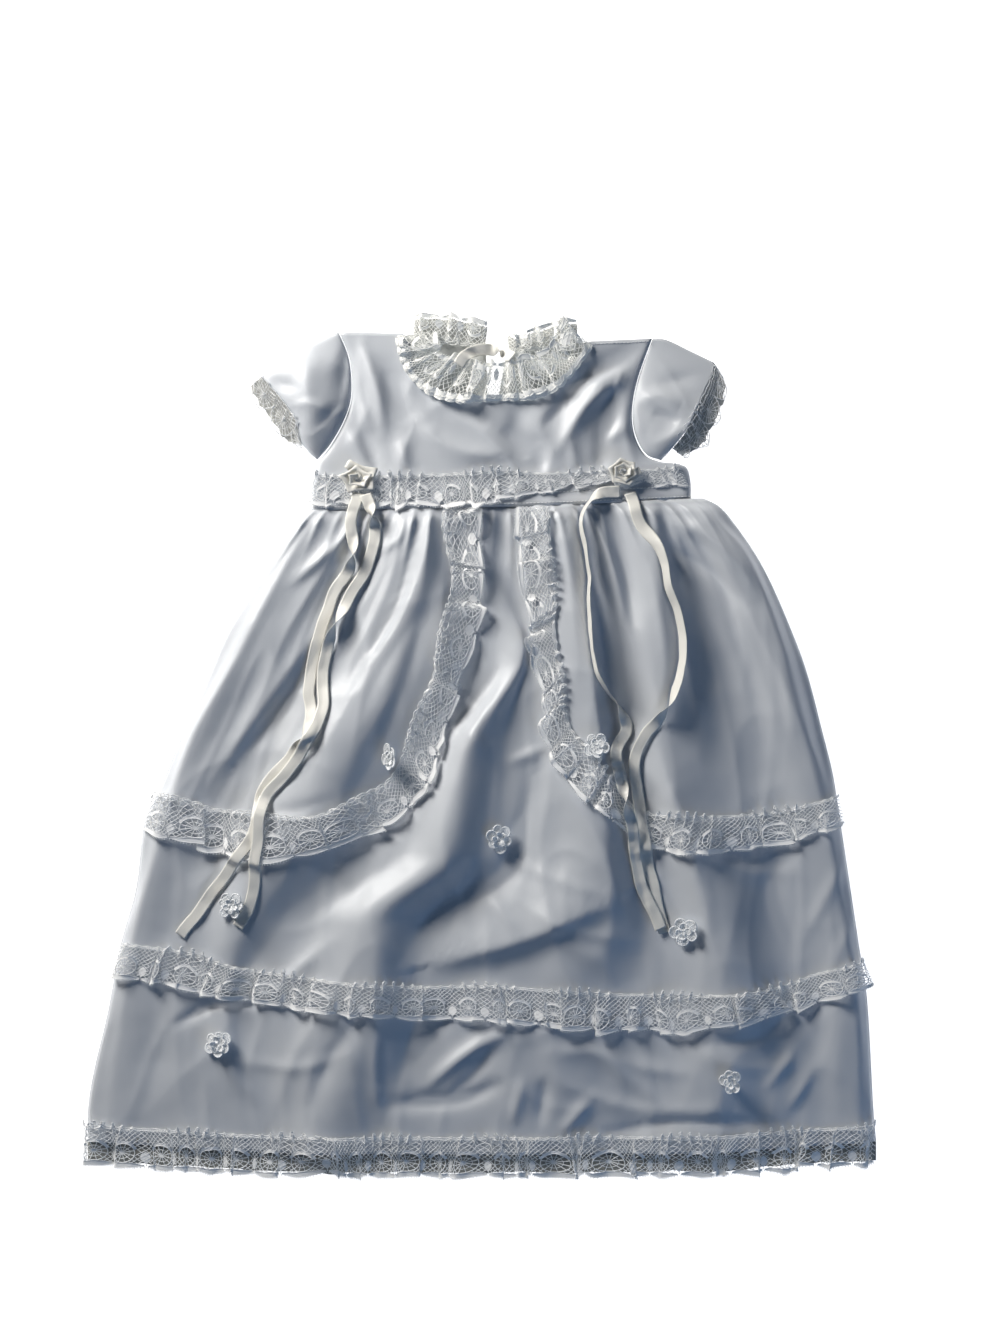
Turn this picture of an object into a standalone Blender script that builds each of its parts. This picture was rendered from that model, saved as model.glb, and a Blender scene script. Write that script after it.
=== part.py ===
"""Christening gown of white satin and cotton lace, laid flat with its face up.

Metres, +Z up. The tables are in millimetres, and MM turns them into metres. The neck points to +Y, the
underside lies on z = 0, and left and right are as seen from above. Each piece of cloth is an open surface
made of rows of points, with a Solidify modifier for its wall. A trim lies on the pieces made before it: its
points are moved out from their tops.
"""

import math
from collections import namedtuple

import bmesh
import bpy
from mathutils import Vector
from mathutils.bvhtree import BVHTree

MM = 0.001

# Walls and gaps
SATIN = 1.2
LACE = 1.0
SEAM_GAP = 0.3

# The middle of the gown's box, which becomes the origin
MIDDLE_X = -0.7
MIDDLE_Y = -0.7

# Skirt
SKIRT_LENGTH = 456.0
SIDE_SEAM_HEIGHT = 2.9
GATHER_HEIGHT = 1.5
GATHER_REACH = 24.0
GATHERS_PER_SPAN = 2
FINE_ROWS = (0.0, 9.0, 22.0, 40.0)
COARSE_ROWS = 16
COLUMNS_PER_SPAN = 4
SKIRT_BACK_COLUMNS = 16
SKIRT_BACK_ROWS = 8

# Bodice and sleeves
BODICE_COLUMNS = 24
BODICE_ROWS = 12
ARMHOLE_SHARE = 1 / 3
FRONT_SHOULDER_SHARE = 0.25
BACK_SHOULDER_SHARE = 0.5
BODICE_FULLNESS = 3.6
BODICE_ROUNDING = 0.7
BODICE_FLATTER_AT_NECK = 0.35
BACK_COLUMNS = 6
SLEEVE_ROWS = 5
SLEEVE_FULLNESS = 6.5
CUFF_MOUTH = 3.5
SLEEVE_ROUNDING = 0.8
CUFF_LACE_ROWS = 2
CUFF_GAP = 1.1
ARMHOLE_GAP = 0.4
UNDERARM_GAP = 1.1
RING_END = 0.5

# Trims
RIBBON_WIDTH = 8.5
RIBBON_STEP = 10.5
RIBBON_LEAN = 0.25
RIBBON_REACH = 0.55
RIBBON_ROLL = 0.55
RIBBON_SMOOTHING = 6
POINTS_PER_WAVE = 4
WAVE_PUSH = 1.2
WAVE_LEAN = 0.8
WAVE_UNEVENNESS = 0.25
WAVE_DRIFT = 0.61
HEADING_WAVE = 0.3
ON_SATIN_REACH = 4.0
HEM_REACH = 5.5
TRIM_REACH = 2.0
NECK_EDGE_REACH = 3.0
NECK_BACK_REACH = 9.0

# Distance below the waist, and where the skirt's sides are
SkirtSide = namedtuple("SkirtSide", "down left right")
SKIRT_SIDES = (
    SkirtSide(0, -125.7, 156.9),
    SkirtSide(5, -130.6, 167.0),
    SkirtSide(16, -137.7, 176.8),
    SkirtSide(48, -156.9, 198.1),
    SkirtSide(90, -181.8, 217.3),
    SkirtSide(122, -195.3, 229.3),
    SkirtSide(165, -214.4, 240.7),
    SkirtSide(197, -227.2, 248.5),
    SkirtSide(229, -240.7, 253.5),
    SkirtSide(271, -245.7, 259.9),
    SkirtSide(314, -257.0, 266.3),
    SkirtSide(356, -264.8, 272.6),
    SkirtSide(442, -280.5, 277.6),
    SkirtSide(SKIRT_LENGTH, -280.5, 279.0),
)

# The skirt's folds from left to right. Each row is the line of a crest or of a hollow, with its place across
# the skirt and its height above the floor at each distance below the waist.
FOLD_DOWN = (0, 37, 101, 165, 243, 293, 349, 406, SKIRT_LENGTH)
Fold = namedtuple("Fold", "name across height")
FOLDS = (
    Fold(
        "left crest",
        (-114, -136, -169, -205, -229, -243, -252, -259, -263),
        (6, 9, 11, 11, 9, 8, 7, 6, 5),
    ),
    Fold(
        "left hollow",
        (-93, -93, -117, -157, -196, -209, -215, -229, -236),
        (4, 3.4, 3.2, 3.2, 3.2, 3.2, 3.2, 3.2, 3),
    ),
    Fold(
        "rose crest",
        (-41, -41, -57, -96, -142, -172, -182, -176, -172),
        (8, 14, 17, 18, 15, 10, 6, 5, 4),
    ),
    Fold(
        "swag hollow",
        (-25, -22, 6, -30, -79, -136, -172, -165, -157),
        (5, 4, 4, 3.5, 3.2, 3.2, 3.2, 3.2, 3),
    ),
    Fold(
        "broad crest",
        (-9, -3, 29, -8, -26, -76, -79, -98, -114),
        (6, 8, 11, 17, 19, 18, 16, 13, 9),
    ),
    Fold(
        "middle hollow",
        (12, 18, 32, 21, 23, -33, -43, -48, -59),
        (5, 5, 8, 6, 4.5, 3.6, 3.2, 3.2, 3),
    ),
    Fold(
        "pleat crest",
        (59, 62, 72, 82, 86, 87, 55, 40, 26),
        (9, 13, 16, 17, 16, 12, 8, 7, 5),
    ),
    Fold(
        "pleat hollow",
        (70, 76, 87, 96, 112, 122, 117, 112, 83),
        (4, 3.4, 3.2, 3.2, 3.2, 3.2, 3.2, 3.2, 3),
    ),
    Fold(
        "bow crest",
        (119, 122, 123, 127, 147, 165, 179, 168, 154),
        (9, 13, 15, 14, 16, 17, 15, 11, 7),
    ),
    Fold(
        "right hollow",
        (128, 137, 163, 186, 200, 207, 226, 225, 218),
        (5, 4, 3.6, 3.4, 3.2, 3.2, 3.2, 3.2, 3),
    ),
    Fold(
        "right crest",
        (143, 182, 208, 225, 244, 252, 262, 265, 266),
        (7, 12, 14, 13, 10, 9, 9, 8, 6),
    ),
)

# Soft creases that cross the folds, from one end to the other
CREASE_END_CUT = 0.1
Crease = namedtuple("Crease", "x0 y0 x1 y1 half_width height")
SKIRT_CREASES = (
    Crease(92, -118, 19, -146, 13, 5.0),
    Crease(19, -146, -30, -156, 12, 4.0),
    Crease(-48, -235, -6, -200, 13, 3.5),
    Crease(-66, -242, 12, -245, 12, 3.0),
    Crease(60, -222, 140, -228, 14, 2.5),
)
BODICE_CREASES = (
    Crease(-86, 276, -72, 236, 9, 4.0),
    Crease(-62, 286, -50, 254, 7, 2.5),
    Crease(-42, 236, -22, 196, 10, 3.5),
    Crease(16, 236, 24, 200, 9, 3.5),
    Crease(84, 283, 34, 240, 10, 4.0),
    Crease(96, 256, 66, 208, 9, 4.5),
    Crease(100, 246, 94, 198, 6, 2.5),
)

# The waist and the hem, by the share of the width
WAIST_SHARE = (0.0, 0.5, 1.0)
WAIST_Y = (165.8, 168.2, 174.2)
HEM_SHARE = (0.0, 0.25, 0.5, 0.75, 1.0)
HEM_Y = (-281.0, -289.0, -290.0, -289.0, -281.0)


def through(positions, values, at):
    """Value at a position, on a smooth curve through the values that doesn't overshoot them."""
    if at <= positions[0]:
        return values[0]
    if at >= positions[-1]:
        return values[-1]
    row = max(k for k in range(len(positions) - 1) if positions[k] <= at)

    def secant(k):
        return (values[k + 1] - values[k]) / (positions[k + 1] - positions[k])

    def slope(k):
        if k == 0:
            return secant(0)
        if k == len(positions) - 1:
            return secant(k - 1)
        before, after = secant(k - 1), secant(k)
        if before * after <= 0:
            return 0.0
        return 2 * before * after / (before + after)

    width = positions[row + 1] - positions[row]
    f = (at - positions[row]) / width
    start, end = values[row], values[row + 1]
    return (
        start * (1 + 2 * f) * (1 - f) ** 2
        + end * f * f * (3 - 2 * f)
        + width * slope(row) * f * (1 - f) ** 2
        - width * slope(row + 1) * f * f * (1 - f)
    )


def ease(f):
    """0 to 1 with level ends."""
    return (1 - math.cos(math.pi * f)) / 2


class Path:
    """A smooth curve through points of the floor plan, read by the share of its length."""

    STEPS = 12
    NEARBY = 0.01

    def __init__(self, *points):
        corners = [Vector(p) for p in points]
        ends = [2 * corners[0] - corners[1]] + corners + [2 * corners[-1] - corners[-2]]
        self.points = [corners[0]]
        for a, b, c, d in zip(ends, ends[1:], ends[2:], ends[3:]):
            for step in range(1, self.STEPS + 1):
                f = step / self.STEPS
                bend = (2 * a - 5 * b + 4 * c - d) * f + (3 * b - a - 3 * c + d) * f * f
                self.points.append(b + (c - a + bend) * f / 2)
        self.lengths = [0.0]
        for a, b in zip(self.points, self.points[1:]):
            self.lengths.append(self.lengths[-1] + (b - a).length)

    @property
    def length(self):
        return self.lengths[-1]

    def at(self, share):
        reach = min(max(share, 0.0), 1.0) * self.length
        k = 0
        while k < len(self.lengths) - 2 and self.lengths[k + 1] < reach:
            k += 1
        span = self.lengths[k + 1] - self.lengths[k]
        return self.points[k].lerp(self.points[k + 1], (reach - self.lengths[k]) / span)

    def left_of(self, share):
        """Unit vector to the left of the way that the curve runs."""
        ahead = self.at(share + self.NEARBY) - self.at(share - self.NEARBY)
        return Vector((-ahead.y, ahead.x)).normalized()


class Joined:
    """Paths end to end, each ending at its own share of the whole, so that a corner falls on a column."""

    def __init__(self, *parts):
        self.parts = parts

    def at(self, share):
        start = 0.0
        for end, path in self.parts:
            if share <= end + 1e-9:
                return path.at((share - start) / (end - start))
            start = end
        return self.parts[-1][1].at(1.0)


def patch(bottom, top, left, right, s, t):
    """A point of the plan between four edges: s runs from left to right and t from bottom to top."""
    low, high = bottom.at(s), top.at(s)
    flat = (
        (bottom.at(0) * (1 - s) + bottom.at(1) * s) * (1 - t)
        + (top.at(0) * (1 - s) + top.at(1) * s) * t
    )
    return low * (1 - t) + high * t + left.at(t) * (1 - s) + right.at(t) * s - flat


def crease_height(creases, x, y):
    """What the creases add here: each is a soft ridge that fades at its ends."""
    total = 0.0
    for crease in creases:
        start = Vector((crease.x0, crease.y0))
        along = Vector((crease.x1, crease.y1)) - start
        share = (Vector((x, y)) - start).dot(along) / along.length_squared
        share = min(max(share, 0.0), 1.0)
        away = (Vector((x, y)) - start - along * share).length / crease.half_width
        fade = (1 + math.sin(math.pi * (CREASE_END_CUT + (1 - 2 * CREASE_END_CUT) * share))) / 2
        total += crease.height * fade * math.exp(-away * away)
    return total


# Materials and meshes


def cloth_material(name, colour, roughness):
    material = bpy.data.materials.new(name)
    material.use_nodes = True
    shader = material.node_tree.nodes["Principled BSDF"]
    shader.inputs["Base Color"].default_value = (*colour, 1.0)
    shader.inputs["Roughness"].default_value = roughness
    shader.inputs["Metallic"].default_value = 0.0
    material.diffuse_color = (*colour, 1.0)
    return material


def joining_faces(upper, lower, closed):
    """Faces between two rows of vertices. The upper row may have twice the spans of the lower one."""
    faces = []
    spans = len(lower) if closed else len(lower) - 1
    double = len(upper) > len(lower)
    for k in range(spans):
        after = (k + 1) % len(lower)
        if double:
            faces.append((upper[2 * k], upper[2 * k + 1], upper[2 * k + 2], lower[after], lower[k]))
        else:
            faces.append((upper[k], upper[after], lower[after], lower[k]))
    return faces


def world(x, y, z):
    """A place in the tables as a point of the scene."""
    return Vector((x - MIDDLE_X, y - MIDDLE_Y, z)) * MM


def outward(face, middle):
    """How much of the face's area points away from the middle."""
    return face.normal.dot(face.calc_center_median() - middle) * face.calc_area()


def cloth(name, rows, wall, side, material, closed=False, capped=False):
    """A piece of cloth from rows of points. side is 1 for a wall above them and -1 for one below them."""
    mesh = bmesh.new()
    corners = []
    for row in rows:
        corners.append([mesh.verts.new(world(*point)) for point in row])
    for upper, lower in zip(corners, corners[1:]):
        for face in joining_faces(upper, lower, closed):
            mesh.faces.new(face)
    if capped:
        mesh.faces.new(corners[0])
        bmesh.ops.recalc_face_normals(mesh, faces=mesh.faces)
    mesh.normal_update()
    middle = sum((v.co for v in mesh.verts), Vector()) / len(mesh.verts)
    if closed and not capped:
        facing = sum(outward(face, middle) for face in mesh.faces)
    else:
        facing = sum(face.normal.z * face.calc_area() for face in mesh.faces)
    if facing < 0:
        bmesh.ops.reverse_faces(mesh, faces=mesh.faces)
    data = bpy.data.meshes.new(name)
    mesh.to_mesh(data)
    mesh.free()
    data.materials.append(material)
    data.shade_smooth()
    piece = bpy.data.objects.new(name, data)
    GOWN.objects.link(piece)
    solidify = piece.modifiers.new("wall", "SOLIDIFY")
    solidify.thickness = wall * MM
    solidify.offset = side
    return piece


class Ground:
    """The tops of the pieces laid so far."""

    ABOVE = 200.0

    def __init__(self):
        self.trees = []

    def add(self, piece):
        self.trees.append(BVHTree.FromObject(piece, bpy.context.evaluated_depsgraph_get()))

    def top_at(self, x, y):
        start = world(x, y, self.ABOVE)
        heights = [0.0]
        for tree in self.trees:
            hit = tree.ray_cast(start, Vector((0, 0, -1)))[0]
            if hit:
                heights.append(hit.z / MM)
        return max(heights)

    def top(self, x, y, reach):
        """The highest top within reach of this point."""
        heights = [self.top_at(x, y)]
        for k in range(8):
            angle = math.pi * k / 4
            heights.append(self.top_at(x + reach * math.cos(angle), y + reach * math.sin(angle)))
        return max(heights)


# Skirt


def skirt_side(down, side):
    downs = [row.down for row in SKIRT_SIDES]
    return through(downs, [getattr(row, side) for row in SKIRT_SIDES], down)


def fold_lines(down):
    """The place and height of every line across the skirt at this distance below the waist."""
    lines = [(skirt_side(down, "left"), SIDE_SEAM_HEIGHT)]
    for fold in FOLDS:
        lines.append((through(FOLD_DOWN, fold.across, down), through(FOLD_DOWN, fold.height, down)))
    lines.append((skirt_side(down, "right"), SIDE_SEAM_HEIGHT))
    return lines


def waist_y(x):
    left, right = SKIRT_SIDES[0].left, SKIRT_SIDES[0].right
    return through(WAIST_SHARE, WAIST_Y, (x - left) / (right - left))


def skirt_y(share, down):
    waist = through(WAIST_SHARE, WAIST_Y, share) - SEAM_GAP
    hem = through(HEM_SHARE, HEM_Y, share)
    return waist + (hem - waist) * down / SKIRT_LENGTH


def skirt_front_row(down, columns_per_span):
    lines = fold_lines(down)
    left, right = lines[0][0], lines[-1][0]
    row = []
    for span, (start, end) in enumerate(zip(lines, lines[1:])):
        last = span == len(lines) - 2
        for column in range(columns_per_span + last):
            f = column / columns_per_span
            x = start[0] + (end[0] - start[0]) * f
            y = skirt_y((x - left) / (right - left), down)
            z = start[1] + (end[1] - start[1]) * ease(f)
            gather = 1 - math.cos(2 * math.pi * GATHERS_PER_SPAN * f)
            z += GATHER_HEIGHT * gather * math.exp(-down / GATHER_REACH)
            row.append((x, y, z + crease_height(SKIRT_CREASES, x, y)))
    return row


def skirt_front():
    fine = 2 * COLUMNS_PER_SPAN
    rows = [skirt_front_row(down, fine) for down in FINE_ROWS]
    first = FINE_ROWS[-1]
    for k in range(1, COARSE_ROWS + 1):
        down = first + (SKIRT_LENGTH - first) * k / COARSE_ROWS
        rows.append(skirt_front_row(down, COLUMNS_PER_SPAN))
    return cloth("skirt_front", rows, SATIN, -1, WHITE_SATIN)


def skirt_back_row(down):
    left, right = skirt_side(down, "left"), skirt_side(down, "right")
    shares = [k / SKIRT_BACK_COLUMNS for k in range(SKIRT_BACK_COLUMNS + 1)]
    return [(left + (right - left) * s, skirt_y(s, down), SATIN) for s in shares]


def skirt_back():
    rows = [skirt_back_row(SKIRT_LENGTH * k / SKIRT_BACK_ROWS) for k in range(SKIRT_BACK_ROWS + 1)]
    return cloth("skirt_back", rows, SATIN, -1, WHITE_SATIN)


# Bodice: its edges in plan, from the shoulder down to the waist


def waist_path(left, right):
    """The waist edge of a bodice piece between two places across."""
    places = [left + (right - left) * k / 6 for k in range(7)]
    return Path(*[(x, waist_y(x)) for x in places])


BODICE_LEFT, BODICE_RIGHT = -121.4, 147.5
SIDE_LEFT = Path((BODICE_LEFT, waist_y(BODICE_LEFT)), (-120.5, 188), (-117, 201))
SIDE_RIGHT = Path((BODICE_RIGHT, waist_y(BODICE_RIGHT)), (147, 188), (142.5, 198), (126, 200.5))
ARMHOLE_LEFT = Path((-117, 201), (-108, 212), (-98, 230), (-93, 248), (-94.5, 273), (-102, 292.5))
ARMHOLE_RIGHT = Path((126, 200.5), (115, 205.5), (107.5, 220), (105.8, 238), (110, 260), (120, 287.9))
SHOULDER_LEFT = Path((-102, 292.5), (-55.4, 291.0))
SHOULDER_RIGHT = Path((75, 285.5), (120, 287.9))
FRONT_NECK = Path(
    (-55.4, 291), (-53.5, 270), (-42, 256), (-20, 248.5), (8.5, 246.5), (40, 252), (62, 266), (75, 285.5)
)
BACK_NECK_LEFT = Path((-55.4, 291), (-28, 290.5), (2.2, 283))
BACK_NECK_RIGHT = Path((17, 281), (45, 283), (75, 285.5))
PLACKET_WAIST_LEFT, PLACKET_WAIST_RIGHT = 4.0, 5.0
PLACKET_LEFT = Path((PLACKET_WAIST_LEFT, waist_y(PLACKET_WAIST_LEFT)), (3.5, 230), (2.2, 283))
PLACKET_RIGHT = Path((PLACKET_WAIST_RIGHT, waist_y(PLACKET_WAIST_RIGHT)), (9, 230), (17, 281))


def bodice_sides():
    left = Joined((ARMHOLE_SHARE, SIDE_LEFT), (1.0, ARMHOLE_LEFT))
    right = Joined((ARMHOLE_SHARE, SIDE_RIGHT), (1.0, ARMHOLE_RIGHT))
    return left, right


def bodice_front_point(s, t):
    left, right = bodice_sides()
    top = Joined(
        (FRONT_SHOULDER_SHARE, SHOULDER_LEFT),
        (1 - FRONT_SHOULDER_SHARE, FRONT_NECK),
        (1.0, SHOULDER_RIGHT),
    )
    plan = patch(waist_path(BODICE_LEFT, BODICE_RIGHT), top, left, right, s, t)
    body = math.sin(math.pi * s) ** BODICE_ROUNDING
    z = SIDE_SEAM_HEIGHT + BODICE_FULLNESS * body * (1 - BODICE_FLATTER_AT_NECK * t)
    z += crease_height(BODICE_CREASES, plan.x, plan.y) * min(1.0, 3 * body)
    return plan.x, plan.y, z


def bodice_front():
    rows = []
    for j in range(BODICE_ROWS + 1):
        t = j / BODICE_ROWS
        rows.append([bodice_front_point(k / BODICE_COLUMNS, t) for k in range(BODICE_COLUMNS + 1)])
    return cloth("bodice_front", rows, SATIN, -1, WHITE_SATIN)


def bodice_back(name, waist, top, left, right):
    rows = []
    for j in range(BODICE_ROWS + 1):
        t = j / BODICE_ROWS
        plans = [patch(waist, top, left, right, k / BACK_COLUMNS, t) for k in range(BACK_COLUMNS + 1)]
        rows.append([(p.x, p.y, SATIN) for p in plans])
    return cloth(name, rows, SATIN, -1, WHITE_SATIN)


def bodice_backs():
    left, right = bodice_sides()
    waist_left = waist_path(BODICE_LEFT, PLACKET_WAIST_LEFT)
    waist_right = waist_path(PLACKET_WAIST_RIGHT, BODICE_RIGHT)
    top_left = Joined((BACK_SHOULDER_SHARE, SHOULDER_LEFT), (1.0, BACK_NECK_LEFT))
    top_right = Joined((1 - BACK_SHOULDER_SHARE, BACK_NECK_RIGHT), (1.0, SHOULDER_RIGHT))
    return (
        bodice_back("bodice_back_left", waist_left, top_left, left, PLACKET_LEFT),
        bodice_back("bodice_back_right", waist_right, top_right, PLACKET_RIGHT, right),
    )


# Sleeves: flattened tubes from the armhole to the cuff, with a lace edging

SleeveCut = namedtuple("SleeveCut", "side armhole top under cuff lace_edge ripples")
SLEEVES = (
    SleeveCut(
        "left",
        ARMHOLE_LEFT,
        Path((-102, 292.5), (-121, 285), (-141, 274), (-157, 261)),
        Path((-117, 201), (-122, 205), (-128, 212)),
        Path((-157, 261), (-151.5, 255), (-145, 248), (-138, 239), (-132.5, 229), (-128, 212)),
        Path((-166.5, 253), (-164, 247), (-157, 236.5), (-147, 222), (-140, 214), (-128.5, 210.5)),
        (0.4, 2.0, 2.2),
    ),
    SleeveCut(
        "right",
        ARMHOLE_RIGHT,
        Path((120, 287.9), (130, 287), (147, 279), (163.5, 271)),
        Path((126, 200.5), (128, 202.5), (129.5, 204)),
        Path((163.5, 271), (162, 262), (156, 249), (150, 236), (143.5, 222), (129.5, 204)),
        Path((172, 258), (173, 247.5), (167.5, 230), (161, 218), (154, 209), (142.5, 203.5)),
        (2.4, 1.6, 1.8),
    ),
)


def clear_of_bodice(cut, u):
    """The step from the armhole's edge to the sleeve's, out to the side and up from the underarm."""
    aside = -ARMHOLE_GAP if cut.side == "left" else ARMHOLE_GAP
    return Vector((aside, UNDERARM_GAP * u * u))


def ring(plans, tops, lows):
    """A flattened ring: the tops from the shoulder to the underarm, then the lows back again."""
    first, last = plans[0], plans[-1]
    ends = []
    for point, height, way in ((first, tops[0], -1), (last, tops[-1], 1)):
        direction = (last - first).normalized() * way * RING_END
        ends.append((point.x + direction.x, point.y + direction.y, (height + lows) / 2))
    upper = [(p.x, p.y, z) for p, z in zip(plans, tops)]
    lower = [(p.x, p.y, lows) for p in reversed(plans)]
    return upper + [ends[1]] + lower + [ends[0]]


def sleeve_height(cut, u, k):
    """Top of the sleeve's wall: u runs from shoulder to underarm and k from armhole to cuff."""
    phase, count, height = cut.ripples
    fullness = SLEEVE_FULLNESS * math.sin(math.pi * k) ** SLEEVE_ROUNDING + CUFF_MOUTH * k
    ripple = height * math.sin(math.pi * k) * math.cos(2 * math.pi * count * u + phase)
    body = math.sin(math.pi * u) ** SLEEVE_ROUNDING
    return SIDE_SEAM_HEIGHT + (fullness + ripple) * body


def sleeve(cut):
    """The wall's middle is modelled, so that the flattened tube stands on the floor with its lower half."""
    around = BODICE_ROWS - round(BODICE_ROWS * ARMHOLE_SHARE)
    rows = []
    for row in range(SLEEVE_ROWS + 1):
        k = row / SLEEVE_ROWS
        plans, tops = [], []
        for column in range(around + 1):
            u = column / around
            armhole = cut.armhole.at(1 - u)
            cuff = cut.cuff.at(u)
            plan = armhole * (1 - k) + cuff * k
            plan += (cut.top.at(k) - cut.armhole.at(1) * (1 - k) - cut.cuff.at(0) * k) * (1 - u)
            plan += (cut.under.at(k) - cut.armhole.at(0) * (1 - k) - cut.cuff.at(1) * k) * u
            plans.append(plan + clear_of_bodice(cut, u))
            tops.append(sleeve_height(cut, u, k) - SATIN / 2)
        rows.append(ring(plans, tops, SATIN / 2))
    return cloth("sleeve_" + cut.side, rows, SATIN, 0, WHITE_SATIN, closed=True)


def cuff_lace(cut):
    around = BODICE_ROWS - round(BODICE_ROWS * ARMHOLE_SHARE)
    rows = []
    for row in range(CUFF_LACE_ROWS + 1):
        k = row / CUFF_LACE_ROWS
        plans, tops = [], []
        for column in range(around + 1):
            u = column / around
            start, end = cut.cuff.at(u), cut.lace_edge.at(u)
            away = (end - start).normalized() * CUFF_GAP * (1 - k)
            plans.append(start.lerp(end, k) + away + clear_of_bodice(cut, u))
            top = sleeve_height(cut, u, 1.0) - SATIN / 2
            low = SIDE_SEAM_HEIGHT - LACE / 2
            tops.append(top + (low - top) * ease(k))
        rows.append(ring(plans, tops, LACE / 2 + SEAM_GAP))
    return cloth("cuff_lace_" + cut.side, rows, LACE, 0, WHITE_LACE, closed=True)


# Gathered lace

LACE_ROWS = (0.0, 0.52, 1.0)
GatheredLace = namedtuple("GatheredLace", "name waves height heading free")
TRIM_LACES = (
    GatheredLace(
        "tier_lace",
        25,
        3.0,
        Path((-256, -140), (-215, -146), (-165, -159), (-109, -166), (-45, -171), (12, -171),
             (69, -174.5), (119, -177), (168, -176), (211, -171), (239, -161), (270, -154)),
        Path((-263, -163), (-215, -173), (-165, -181.5), (-109, -189), (-45, -194), (12, -197),
             (69, -200.5), (119, -203), (168, -199), (211, -191), (239, -182), (277, -170)),
    ),
    GatheredLace(
        "swag_lace_left",
        17,
        3.0,
        Path((-25, 163), (-22, 131), (-23, 103), (-30, 67), (-41, 32), (-53, 0), (-70, -29), (-101, -45),
             (-137, -52), (-172, -48), (-208, -41), (-236, -36)),
        Path((-3, 163), (0, 131), (0, 103), (-6, 67), (-20, 30), (-27, -5), (-41, -35), (-73, -60),
             (-109, -74), (-151, -81), (-201, -72), (-241, -61)),
    ),
    GatheredLace(
        "swag_lace_right",
        17,
        3.0,
        Path((46, 163), (48, 131), (49, 103), (52, 67), (55, 39), (61, 14), (77, -6), (93, -28), (113, -47),
             (154, -50), (204, -48), (251, -36)),
        Path((23, 163), (25, 131), (28, 103), (35, 67), (39, 32), (44, 3), (55, -22), (83, -48), (114, -71),
             (154, -77), (204, -72), (258, -55)),
    ),
    GatheredLace(
        "waist_lace",
        12,
        2.2,
        Path((-120, 191), (-59, 190), (-2, 193), (55, 192), (110, 194), (140, 196)),
        Path((-121, 169), (-59, 168), (-2, 169.5), (55, 172.5), (111, 173.5), (146, 176)),
    ),
)
HEM_PATH_SPANS = 8
HEM_LACE_ABOVE = 12.0
HEM_LACE_BELOW = 16.5
HEM_BACK_DEPTH = 13.0
HEM_BACK_NARROWING = 0.997


def gathered_lace(lace, ground, reach, lowest, material):
    """Lace from its heading to its free edge. Its waves grow towards the free edge and push it in and out."""
    columns = lace.waves * POINTS_PER_WAVE
    rows = []
    for across in LACE_ROWS:
        points = []
        for column in range(columns + 1):
            share = column / columns
            heading, free = lace.heading.at(share), lace.free.at(share)
            turn = 2 * math.pi * lace.waves * share
            uneven = 1 - WAVE_UNEVENNESS * (1 - math.sin(WAVE_DRIFT * turn / math.pi + lace.waves))
            plan = heading.lerp(free, across)
            push = WAVE_PUSH * across * math.sin(turn + WAVE_LEAN) * uneven
            plan += (free - heading).normalized() * push
            grown = HEADING_WAVE + (1 - HEADING_WAVE) * across
            wave = ease(turn / math.pi) * lace.height * grown * uneven
            base = max(ground.top(plan.x, plan.y, reach), lowest) + SEAM_GAP
            points.append((plan.x, plan.y, base + wave))
        rows.append(points)
    return cloth(lace.name, rows, LACE, 1, material)


def hem_path(offset):
    """The front's hem edge, moved up or down the skirt."""
    points = []
    for k in range(HEM_PATH_SPANS + 1):
        share = k / HEM_PATH_SPANS
        x = SKIRT_SIDES[-1].left * (1 - share) + SKIRT_SIDES[-1].right * share
        points.append((x, skirt_y(share, SKIRT_LENGTH) + offset))
    return Path(*points)


def hem_lace_front(ground):
    lace = GatheredLace("hem_lace_front", 28, 3.5, hem_path(HEM_LACE_ABOVE), hem_path(-HEM_LACE_BELOW))
    return gathered_lace(lace, ground, HEM_REACH, 0.0, WHITE_LACE)


def hem_lace_back():
    """The back's hem lace, sewn edge to edge under the front's."""
    edge = [Vector((x, y - SEAM_GAP)) for x, y, _ in skirt_back_row(SKIRT_LENGTH)]
    top = []
    for a, b in zip(edge, edge[1:]):
        top += [a, a.lerp(b, 0.5)]
    top.append(edge[-1])
    height = LACE + SEAM_GAP
    free = [(p.x * HEM_BACK_NARROWING, p.y - HEM_BACK_DEPTH, height) for p in top]
    return cloth("hem_lace_back", [[(p.x, p.y, height) for p in top], free], LACE, -1, WHITE_LACE)


# Neck frills: each row is a distance from the neck edge towards the opening, with its height and its waves

FrillRow = namedtuple("FrillRow", "inward height wave")
FRONT_FRILL_ROWS = (
    FrillRow(-3.0, 0.4, 1.8),
    FrillRow(1.5, 3.0, 0.8),
    FrillRow(11.0, 4.8, 2.0),
    FrillRow(23.0, 4.2, 3.0),
)
FRONT_FRILL_WAVES = 17


def neck_frill_front(ground):
    columns = FRONT_FRILL_WAVES * POINTS_PER_WAVE
    rows = []
    for row in FRONT_FRILL_ROWS:
        points = []
        for column in range(columns + 1):
            share = column / columns
            turn = 2 * math.pi * FRONT_FRILL_WAVES * share
            edge = FRONT_NECK.at(share)
            plan = edge + FRONT_NECK.left_of(share) * row.inward
            under = ground.top(plan.x, plan.y, TRIM_REACH)
            base = max(under, ground.top(edge.x, edge.y, NECK_EDGE_REACH)) + row.height
            uneven = 1 - WAVE_UNEVENNESS * (1 - math.sin(WAVE_DRIFT * turn / math.pi))
            points.append((plan.x, plan.y, base + row.wave * ease(turn / math.pi) * uneven))
        rows.append(points)
    return cloth("neck_frill_front", rows, LACE, 1, CREAM_LACE)


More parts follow.
